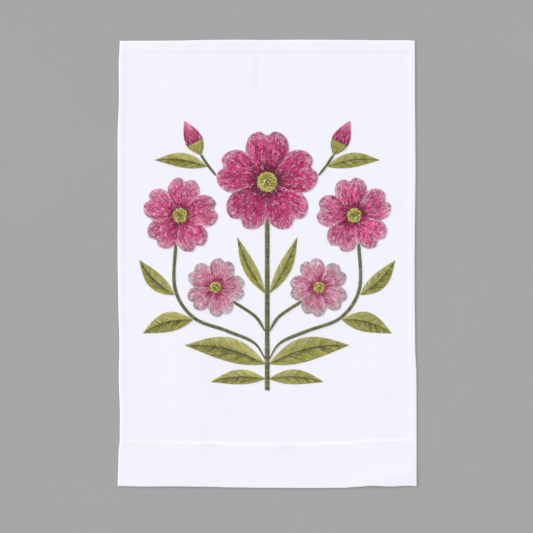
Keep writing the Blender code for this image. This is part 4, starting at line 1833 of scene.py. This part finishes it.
@dataclass
class Leaf(Blade):
    """A leaf of two raised halves, its stitches slanting from the midrib to the edges."""

    slant: float = 0.26  # how far up the leaf stitches run to the edge
    veins: int = 5  # to each side
    # painted shade of the padding between the threads
    ground_dark: float = 0.15
    sage: tuple[float, float] = (0.46, 0.1)  # shade of the one half, and how much lighter its edge is
    gold: tuple[float, float] = (0.72, 0.1)  # the same of the other
    olive: float = 0.26  # how much darker the sage half is by the midrib
    band: float = 0.1  # how much each stretch between veins varies
    vein_dark: float = 0.3
    rib_dark: float = 0.5
    rib_stitch: float = 2.6 * MM
    rib_width: float = 0.62 * MM
    rib_lift: float = 0.1 * MM
    mottle: Mottle = Mottle(0.1, 0.07, 0.35, 0.35, bunch=2.2, pale=0.1, often=1.9, seldom=0.3)

    def crown(self, u: Array, v: Array) -> Array:
        """Two halves, sin^2 across and a sine along, with a groove between."""
        return self.swell * np.sin(TURN * u) ** 2 * np.sin(math.pi * v)

    def line(self, u: Array, v: Array) -> Array:
        """Where on the midrib the line of stitches through a place starts."""
        slant = self.slant * aside(u)
        return (v - slant) / (1 - slant)

    def number(self, u: Array, v: Array) -> Array:
        """Counted along the midrib."""
        return self.line(u, v) * self.length() / self.spacing

    def shading(self, u: Array, v: Array) -> Array:
        """One half sage and the other yellow-green, with an olive band by the midrib and thin olive veins."""
        side = aside(u)
        line = self.line(u, v) * self.veins
        vein = bell((line + 0.35) % 1.0 - 0.5, 0.07) * (1 - 0.5 * side)
        band = self.band * np.sin(line * TURN + 2.2) * smooth(side * 1.6)
        near = bell(side - 0.22, 0.14) * (1 - 0.7 * v)
        sage = self.sage[0] - self.olive * near + self.sage[1] * smooth((side - 0.5) * 2)
        half = np.where(u > 0.5, self.gold[0] + self.gold[1] * side, sage)
        return half + band - self.vein_dark * vein - self.rib_dark * bell(side, 0.09)

    def fill(self) -> Form:
        """Slanting lines of stitches on both halves, each line broken where it likes.

        Returns:
            The stitches.
        """
        rng, length = self.rng, self.length()
        count = round(length / self.spacing * 0.92)
        pieces = math.ceil(math.hypot(self.broad / 2, self.slant * length) / self.stitch) + 1
        before = math.ceil(self.slant / (1 - self.slant) * count)  # lines that start off the foot
        lines = before + count
        line = np.repeat(np.arange(-before, count) / count, pieces)
        part = np.tile(np.arange(pieces), lines)
        halves = []
        for sign in (-1, 1):
            root = line + rng.normal(0.0, 0.08, len(line)) / count
            half = self.half(np.clip(root + self.slant / 2, 0, 1))
            reach = np.hypot(half, self.slant * length * (1 - root))
            step = self.stitch / np.maximum(reach, self.stitch * 0.6)
            shift = np.repeat(rng.uniform(-0.9, 0.0, lines), pieces)
            low = (part + shift) * step
            high = low + step * rng.uniform(0.98, 1.2, len(line))
            entry = np.maximum(0.03, -root / (self.slant * (1 - root)))
            low, high = np.clip(low, entry, 1.0), np.clip(high, entry, 0.995)
            u0, u1 = (0.5 + sign * side / 2 for side in (low, high))
            v0, v1 = (np.clip(root + self.slant * side * (1 - root), 0.0, 0.995) for side in (low, high))
            drawn = [[runs(rng, lines, self.mottle.bunch) for _ in range(pieces)] for _ in range(3)]
            bunches = np.swapaxes(drawn, 1, 2).reshape(3, -1)
            halves.append(np.stack([u0, v0, u1, v1, *bunches])[:, high - low > 0.02])
        u0, v0, u1, v1, *bunches = np.concatenate(halves, axis=1)
        shade = self.shading((u0 + u1) / 2, (v0 + v1) / 2)
        return self.lay((u0, v0, u1, v1), self.colours(shade, bunches=bunches))

    def midrib(self) -> Form:
        """A line of dark back stitch down the middle.

        Returns:
            The stitches.
        """
        count = round(self.length() / self.rib_stitch)
        v = 0.01 + 0.93 * np.arange(count) / count
        middle = np.full(count, 0.5)
        ends = (middle + 0.004, v, middle - 0.004, v + 0.93 / count)
        shade, tone = self.rng.normal(0.08, 0.06, count), self.rng.normal(0, 0.3, count)
        return self.lay(ends, (shade, 0 * middle, tone), self.rib_width, self.rib_lift)

    def forms(self) -> list[Form]:
        """The ground, the slanting lines of stitches and the midrib."""
        return [self.ground(), self.fill(), self.midrib()]


@dataclass
class Satin(Blade):
    """A bud or a calyx: rows of long stitches that run from its foot to its tip."""

    pale_tip: bool = True
    crossed: float = 0.018  # how far a stitch leans aside, as a share of the breadth
    margin: float = 0.02  # of the breadth, that the stitches' ends stay off the sides
    rows_share: float = 0.55  # of a stitch's length, from one row to the next

    def number(self, u: Array, v: Array) -> Array:
        """Counted across the blade."""
        return u * self.broad / self.spacing

    def crown(self, u: Array, v: Array) -> Array:
        """A single rounded back."""
        return self.swell * rounded(u)

    def shading(self, u: Array, v: Array) -> Array:
        """From dark at the foot to light at the tip, the sides and one line a little darker."""
        top = v if self.pale_tip else 0.35 + 0.4 * v
        return 0.1 + 0.8 * top - 0.2 * aside(u) ** 3 - 0.25 * bell(u - 0.42, 0.05) * (1 - v)

    def forms(self) -> list[Form]:
        """The ground, and staggered rows of stitches along the blade.

        Returns:
            The two.
        """
        rng = self.rng
        length = self.length() * (self.stop - self.start)
        rows = max(3, round(length / (self.stitch * self.rows_share)))
        count = round(self.broad / self.spacing)
        near, far = self.margin, 1 - self.margin
        u0 = np.tile((np.arange(count) + 0.5) / count, rows) + rng.normal(0.0, 0.3, rows * count) / count
        u0 = np.clip(u0, near, far)
        low = np.repeat(np.arange(rows) / rows, count) - 0.3 / rows
        low = low + rng.uniform(-0.5, 0.5, rows * count) / rows
        v0, v1 = np.clip(low, 0.0, 1.0), np.clip(low + self.stitch / length, 0.02, 0.99)
        u1 = np.clip(u0 + rng.normal(0.0, self.crossed, len(u0)), near, far)
        colours = self.colours(self.shading(u0, (v0 + v1) / 2))
        return [self.ground(), self.lay((u0, v0, u1, v1), colours)]


class Pass(NamedTuple):
    """One layer of a stem's stitches: which way it leans, its pitch, its reach across and its lift."""

    lean: int
    pitch: float
    low: float
    high: float
    lifted: float


PASSES = (Pass(1, 0.36 * MM, 0.0, 1.0, 0.0), Pass(-1, 0.936 * MM, 0.16, 0.84, 0.08 * MM))


@dataclass(kw_only=True)
class Stem(Motif):
    """A raised line of slanting satin stitches that follows its points, in mm."""

    points: tuple[tuple[float, float], ...]
    broad: float
    first: float  # breadth at its first point, as a share
    thinning: float = 1 / 3  # of its length, over which it grows from that
    swell: float = 0.35 * MM
    fall: float = 0.8 * MM  # over which the ground falls to the cloth
    cap: float  # length of the tapered end past its last point
    cap_share: float = 0.2  # breadth at the end of that, as a share
    cap_power: float = 0.75
    lean: float = 1.6 * MM  # how far up the stem a stitch runs across it
    shade: float = 0.5
    # painted shade of the padding between the threads
    ground_dark: float = 0.2
    section: float = 3 * MM  # from one of the ground's sections to the next
    samples: int = 200  # of the path, for its length
    mottle: Mottle = Mottle(0.2, 0.12, 0.3, 0.35, bunch=2.0, pale=0.07, faint=0.5, full=0.9)

    def path(self, v: Array) -> tuple[Array, Array, Array, Array]:
        """Places on a smooth curve through the points, and its direction there.

        Between two points it is the cubic that leaves each of them along the line between
        that point's neighbours. Past the last it runs straight on.

        Args:
            v: Shares of the way through the points, and from 1 to 2 along the cap.

        Returns:
            x, y and the direction's x and y.
        """
        spots = np.array(self.points) * MM
        spans = len(spots) - 1
        at = np.clip(v, 0.0, 1.0) * spans
        span = np.minimum(at.astype(int), spans - 1)
        t = (at - span)[..., None]
        p1, p2 = spots[span], spots[span + 1]
        m1 = (p2 - spots[np.maximum(span - 1, 0)]) / 2
        m2 = (spots[np.minimum(span + 2, spans)] - p1) / 2
        spot = (2 * t**3 - 3 * t**2 + 1) * p1 + (t**3 - 2 * t**2 + t) * m1
        spot = spot + (3 * t**2 - 2 * t**3) * p2 + (t**3 - t**2) * m2
        way = (6 * t**2 - 6 * t) * (p1 - p2) + (3 * t**2 - 4 * t + 1) * m1 + (3 * t**2 - 2 * t) * m2
        way = way / np.linalg.norm(way, axis=-1, keepdims=True)
        spot = spot + way * (np.maximum(v - 1, 0) * self.cap)[..., None]
        return spot[..., 0], spot[..., 1], way[..., 0], way[..., 1]

    def half(self, v: Array) -> Array:
        """Half the stem's breadth, which grows from that at its first point and shrinks along the cap."""
        grown = self.first + (1 - self.first) * smooth(v / self.thinning)
        return self.broad / 2 * grown * (1 - (1 - self.cap_share) * np.maximum(v - 1, 0) ** self.cap_power)

    def place(self, u: Array, v: Array) -> Pair:
        """On the path by v, and off it by u."""
        x, y, wx, wy = self.path(v)
        off = self.half(v) * (2 * u - 1)
        return self.hand.mirror * (x - wy * off), y + wx * off

    def crown(self, u: Array, v: Array) -> Array:
        """A rounded back."""
        return self.swell * rounded(u)

    def rim(self, u: Array, v: Array) -> Array:
        """The ground falls to the cloth at its sides."""
        return smooth((1 - aside(u)) * self.half(v) / self.fall)

    def shading(self, u: Array, v: Array) -> Array:
        """One shade all over."""
        return self.shade + 0 * u

    def at(self, share: Array) -> Array:
        """The v of places at shares of the whole length.

        Args:
            share: Shares of the length, from the foot to the cap's end.

        Returns:
            The v of each.
        """
        v = np.concatenate([np.linspace(0.0, 1.0, self.samples), [2.0]])
        x, y, _, _ = self.path(v)
        run = np.concatenate([[0.0], np.cumsum(np.hypot(np.diff(x), np.diff(y)))])
        return np.interp(np.clip(share, 0, 1) * run[-1], run, v)

    def length(self) -> float:
        """From the foot to the cap's end."""
        x, y, _, _ = self.path(self.at(np.linspace(0.0, 1.0, self.samples)))
        return float(np.hypot(np.diff(x), np.diff(y)).sum())

    def number(self, u: Array, v: Array) -> Array:
        """Counted along the stem."""
        shares = np.linspace(0.0, 1.0, self.samples)
        along = np.interp(v, self.at(shares), shares) * self.length()
        return (along - (u - 0.5) * self.lean) / PASSES[0].pitch

    def satin(self, row: Pass) -> Form:
        """One layer of slanting stitches.

        Args:
            row: Which layer.

        Returns:
            The stitches.
        """
        rng, length = self.rng, self.length()
        count = round(length / row.pitch)
        place = (np.arange(count) + rng.uniform(-0.2, 0.2, count)) / count
        reach = row.lean * self.lean / length / 2
        low, high = row.low + rng.uniform(0.0, 0.08, count), row.high - rng.uniform(0.0, 0.08, count)
        ends = (low, self.at(place - reach), high, self.at(place + reach))
        return self.lay(ends, self.colours(self.shading(low, place)), lifted=row.lifted)

    def forms(self) -> list[Form]:
        """The ground, slanting stitches all along it, and a sparser row laid the other way over them."""
        rows = self.at(np.linspace(0.004, 0.996, max(12, round(self.length() / self.section))))
        ground = self.tube(rows, np.linspace(0.95, 0.05, 7))
        return [ground, *(self.satin(row) for row in PASSES)]


class BlossomRow(NamedTuple):
    """A blossom: its middle and radius in mm, the direction of its first petal in degrees, its thread."""

    name: str
    x: float
    y: float
    radius: float
    turn: float
    thread: Rayon
    slot: str
    hands: tuple[Hand, ...]


class LeafRow(NamedTuple):
    """A leaf on each side: its foot, its tip, its breadth and its bend, in mm."""

    name: str
    x0: float
    y0: float
    x1: float
    y1: float
    broad: float
    bend: float


class StemRow(NamedTuple):
    """A stem: its points, breadth and cap in mm, and its breadth at its first point as a share."""

    name: str
    points: tuple[tuple[float, float], ...]
    broad: float
    first: float
    cap: float


BOTH = (Hand.LEFT, Hand.RIGHT)
BLOSSOMS = (
    BlossomRow("top", 0, 98, 62, 90, DEEP_PINK, "deep_pink_thread", (Hand.MIDDLE,)),
    BlossomRow("upper", 104, 58, 46, 26, PINK, "pink_thread", BOTH),
    BlossomRow("lower", 62, -28, 36, 38, PALE_PINK, "pale_pink_thread", BOTH),
)
LEAVES = (
    LeafRow("foot", 2.8, -137, 68, -141, 18, 4),
    LeafRow("low", 2.9, -119.1, 99, -97, 29, 7),
    LeafRow("outer_low", 89.5, -66.4, 149, -83, 24, 5),
    LeafRow("outer_high", 111.6, -36.9, 153, 5, 20, -4),
    LeafRow("inner", 3.1, -34.5, 36, 33, 16, -3),
    LeafRow("crown", 72.4, 116.6, 135, 124, 18, 4),
)
MAIN_STEM = StemRow("main", ((0, -151), (0, -100), (0, -25), (0, 48.5)), 6.4, 1.0, 5.4)
SIDE_STEMS = (
    StemRow(
        "outer", ((2.9, -113.2), (16, -94), (48, -80), (88, -64), (110, -30), (109.4, 20.9)), 4.6, 0.4, 4.8
    ),
    StemRow("inner", ((2.9, -80.3), (14, -63), (38.8, -46.2)), 4.2, 0.4, 3.8),
    StemRow("bud", ((61.4, 105.8), (71, 118), (79, 130)), 3.6, 0.7, 0.4),
)


@dataclass
class Bud:
    """A closed bud of pink satin in a green calyx, on each side: foot, tip and breadth, in mm."""

    x0: float = 79.3
    y0: float = 130.5
    x1: float = 99.0
    y1: float = 171.0
    broad: float = 22.0
    fat: float = 0.8
    swell: float = 0.4
    cup: float = 0.36  # share of its length in the calyx
    tucked: float = 0.3  # of the bud, under the calyx

    def motifs(self, lie: Lie, hand: Hand) -> list[Motif]:
        """The calyx and the bud of one side.

        Args:
            lie: How the cloth under them lies.
            hand: Which side.

        Returns:
            The two.
        """
        shared = {name: getattr(self, name) * MM for name in ("x0", "y0", "x1", "y1", "broad", "swell")}
        shared |= {"lie": lie, "hand": hand, "fat": self.fat}
        tucked = self.tucked / math.hypot(self.x1 - self.x0, self.y1 - self.y0)
        cup = {"thread": LEAF_GREEN, "slot": "leaf_thread", "stop": self.cup, "pale_tip": False}
        petals = {"thread": PINK, "slot": "pink_thread", "start": self.cup - tucked}
        return [Satin(hand.label("calyx"), **cup, **shared), Satin(hand.label("bud"), **petals, **shared)]


@dataclass
class Spray:
    """The whole spray: a stem with its side stems, leaves, blossoms and buds, the same on both sides."""

    lie: Lie
    bud: Bud = field(default_factory=Bud)
    eye_share: float = 0.2

    def blossoms(self, hand: Hand) -> list[Motif]:
        """The blossoms of one side, or the one in the middle, with their eyes.

        Args:
            hand: Which side.

        Returns:
            Each blossom and its eye.
        """
        motifs: list[Motif] = []
        for row in (row for row in BLOSSOMS if hand in row.hands):
            shared = {"lie": self.lie, "hand": hand, "x": row.x * MM, "y": row.y * MM}
            radius = row.radius * MM
            petals = {"thread": row.thread, "slot": row.slot, "radius": radius, "eye_share": self.eye_share}
            heart = {"thread": EYE_GOLD, "slot": "eye_thread", "radius": radius * self.eye_share}
            label = hand.label(row.name)
            motifs.append(Blossom(f"blossom_{label}", turn=math.radians(row.turn), **petals, **shared))
            motifs.append(Eye(f"eye_{label}", **heart, **shared))
        return motifs

    def stem(self, row: StemRow, hand: Hand) -> Stem:
        """A stem from its row."""
        sizes = {"points": row.points, "broad": row.broad * MM, "first": row.first, "cap": row.cap * MM}
        return Stem(hand.label(f"stem_{row.name}"), self.lie, STEM_GREEN, "stem_thread", hand, **sizes)

    def leaf(self, row: LeafRow, hand: Hand) -> Leaf:
        """A leaf from its row."""
        sizes = {name: getattr(row, name) * MM for name in ("x0", "y0", "x1", "y1", "broad", "bend")}
        return Leaf(hand.label(f"leaf_{row.name}"), self.lie, LEAF_GREEN, "leaf_thread", hand, **sizes)

    def motifs(self) -> list[Motif]:
        """Every motif, from the middle out.

        Returns:
            The motifs, in the order in which they are made.
        """
        motifs = [self.stem(MAIN_STEM, Hand.MIDDLE), *self.blossoms(Hand.MIDDLE)]
        for hand in BOTH:
            motifs += [self.stem(row, hand) for row in SIDE_STEMS]
            motifs += [self.leaf(row, hand) for row in LEAVES]
            motifs += self.blossoms(hand)
            motifs += self.bud.motifs(self.lie, hand)
        return motifs


# The studio


@dataclass(frozen=True)
class Key:
    """A broad lamp so far away that it lights the whole towel alike."""

    name: str = "key_light"
    from_left: float = 50.0  # degrees from the towel's top edge towards its left
    above: float = 17.0  # degrees above the floor
    spread: float = 16.0  # degrees across, as the towel sees it
    strength: float = 2.3
    tint: Colour = (1.0, 0.995, 0.985)

    def build(self) -> None:
        """Hangs the lamp."""
        lamp = bpy.data.lights.new(self.name, "SUN")
        lamp.angle, lamp.energy, lamp.color = math.radians(self.spread), self.strength, self.tint
        turn, rise = math.radians(self.from_left), math.radians(self.above)
        towards = Vector((-math.sin(turn) * math.cos(rise), math.cos(turn) * math.cos(rise), math.sin(rise)))
        added(self.name, lamp).rotation_euler = towards.to_track_quat("Z", "Y").to_euler()


@dataclass(frozen=True)
class Floor:
    """A matt pale grey surface with a faint mottle."""

    size: float = 6.0
    drop: float = 0.05 * MM  # how far it lies under the towel
    tone: float = 0.36
    mottle: tuple[float, float, float] = (3.0, 5.0, 0.1)  # patches a metre, detail and strength
    grain: tuple[float, float, float] = (160.0, 3.0, 0.06)
    coarse: float = 0.6  # roughness of both noises
    roughness: float = 0.9
    specular: float = 0.2

    def material(self) -> Material:
        """The grey, lighter and darker by two noises.

        Returns:
            The floor's material.
        """
        bench = Bench("floor")
        place = bench.place()
        mottle, grain = (
            bench.noise(place, (fine,) * 3, detail, self.coarse)
            for fine, detail, _ in (self.mottle, self.grain)
        )
        shade = 1.0 + mottle * self.mottle[2] + grain * self.grain[2]
        plain = bench.node("ShaderNodeCombineXYZ", {}, dict(enumerate((self.tone,) * 3)))
        fixed = {"Roughness": self.roughness, "Specular IOR Level": self.specular}
        return bench.finish({"Base Color": bench.scaled(plain.outputs[0], shade)}, fixed)

    def build(self) -> None:
        """Lays the floor."""
        corner = np.array([[-1, -1], [1, -1], [1, 1], [-1, 1]], float) * (self.size / 2)
        mesh = bpy.data.meshes.new("floor")
        mesh.from_pydata(np.hstack([corner, np.full((4, 1), -self.drop)]).tolist(), [], [(0, 1, 2, 3)])
        mesh.materials.append(self.material())
        added("floor", mesh)


@dataclass
class Studio:
    """A pale floor under the towel, soft light from its upper left, and the camera straight above it."""

    floor: Floor = Floor()
    key: Key = Key()
    sky: Colour = (0.84, 0.84, 0.84)
    lens: float = 85.0
    sensor: float = 36.0
    view_width: float = 0.637  # of the floor, as the picture shows it
    aim: tuple[float, float] = (-0.0008, -0.0031)  # the point under the camera

    def build(self) -> None:
        """Lays the floor, hangs the lamp and sets up the sky and the camera."""
        self.floor.build()
        self.key.build()
        scene = bpy.context.scene
        world = bpy.data.worlds.new("studio")
        world.use_nodes = True
        world.node_tree.nodes["Background"].inputs["Color"].default_value = (*self.sky, 1.0)
        scene.world = world
        scene.view_settings.view_transform = "Standard"
        camera = bpy.data.cameras.new("camera")
        camera.lens, camera.sensor_width = self.lens, self.sensor
        scene.camera = added("camera", camera)
        scene.camera.location = (*self.aim, self.view_width * self.lens / self.sensor)


def main() -> None:
    """Builds the towel piece by piece, logs each piece's number of faces, and sets up the studio."""
    logging.basicConfig(level=logging.INFO, format="%(message)s")
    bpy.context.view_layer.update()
    lie = Lie()
    cloth = Cloth(lie, Linen()).build()
    log.info("%s: %d faces", cloth.name, len(cloth.data.polygons))
    sewn = HemWork(lie, HemThread()).build()
    sewn += [motif.build() for motif in Spray(lie).motifs()]
    for piece in sewn:
        log.info("%s: %d faces", piece.name, len(piece.data.polygons))
    Studio().build()


if __name__ == "__main__":
    main()
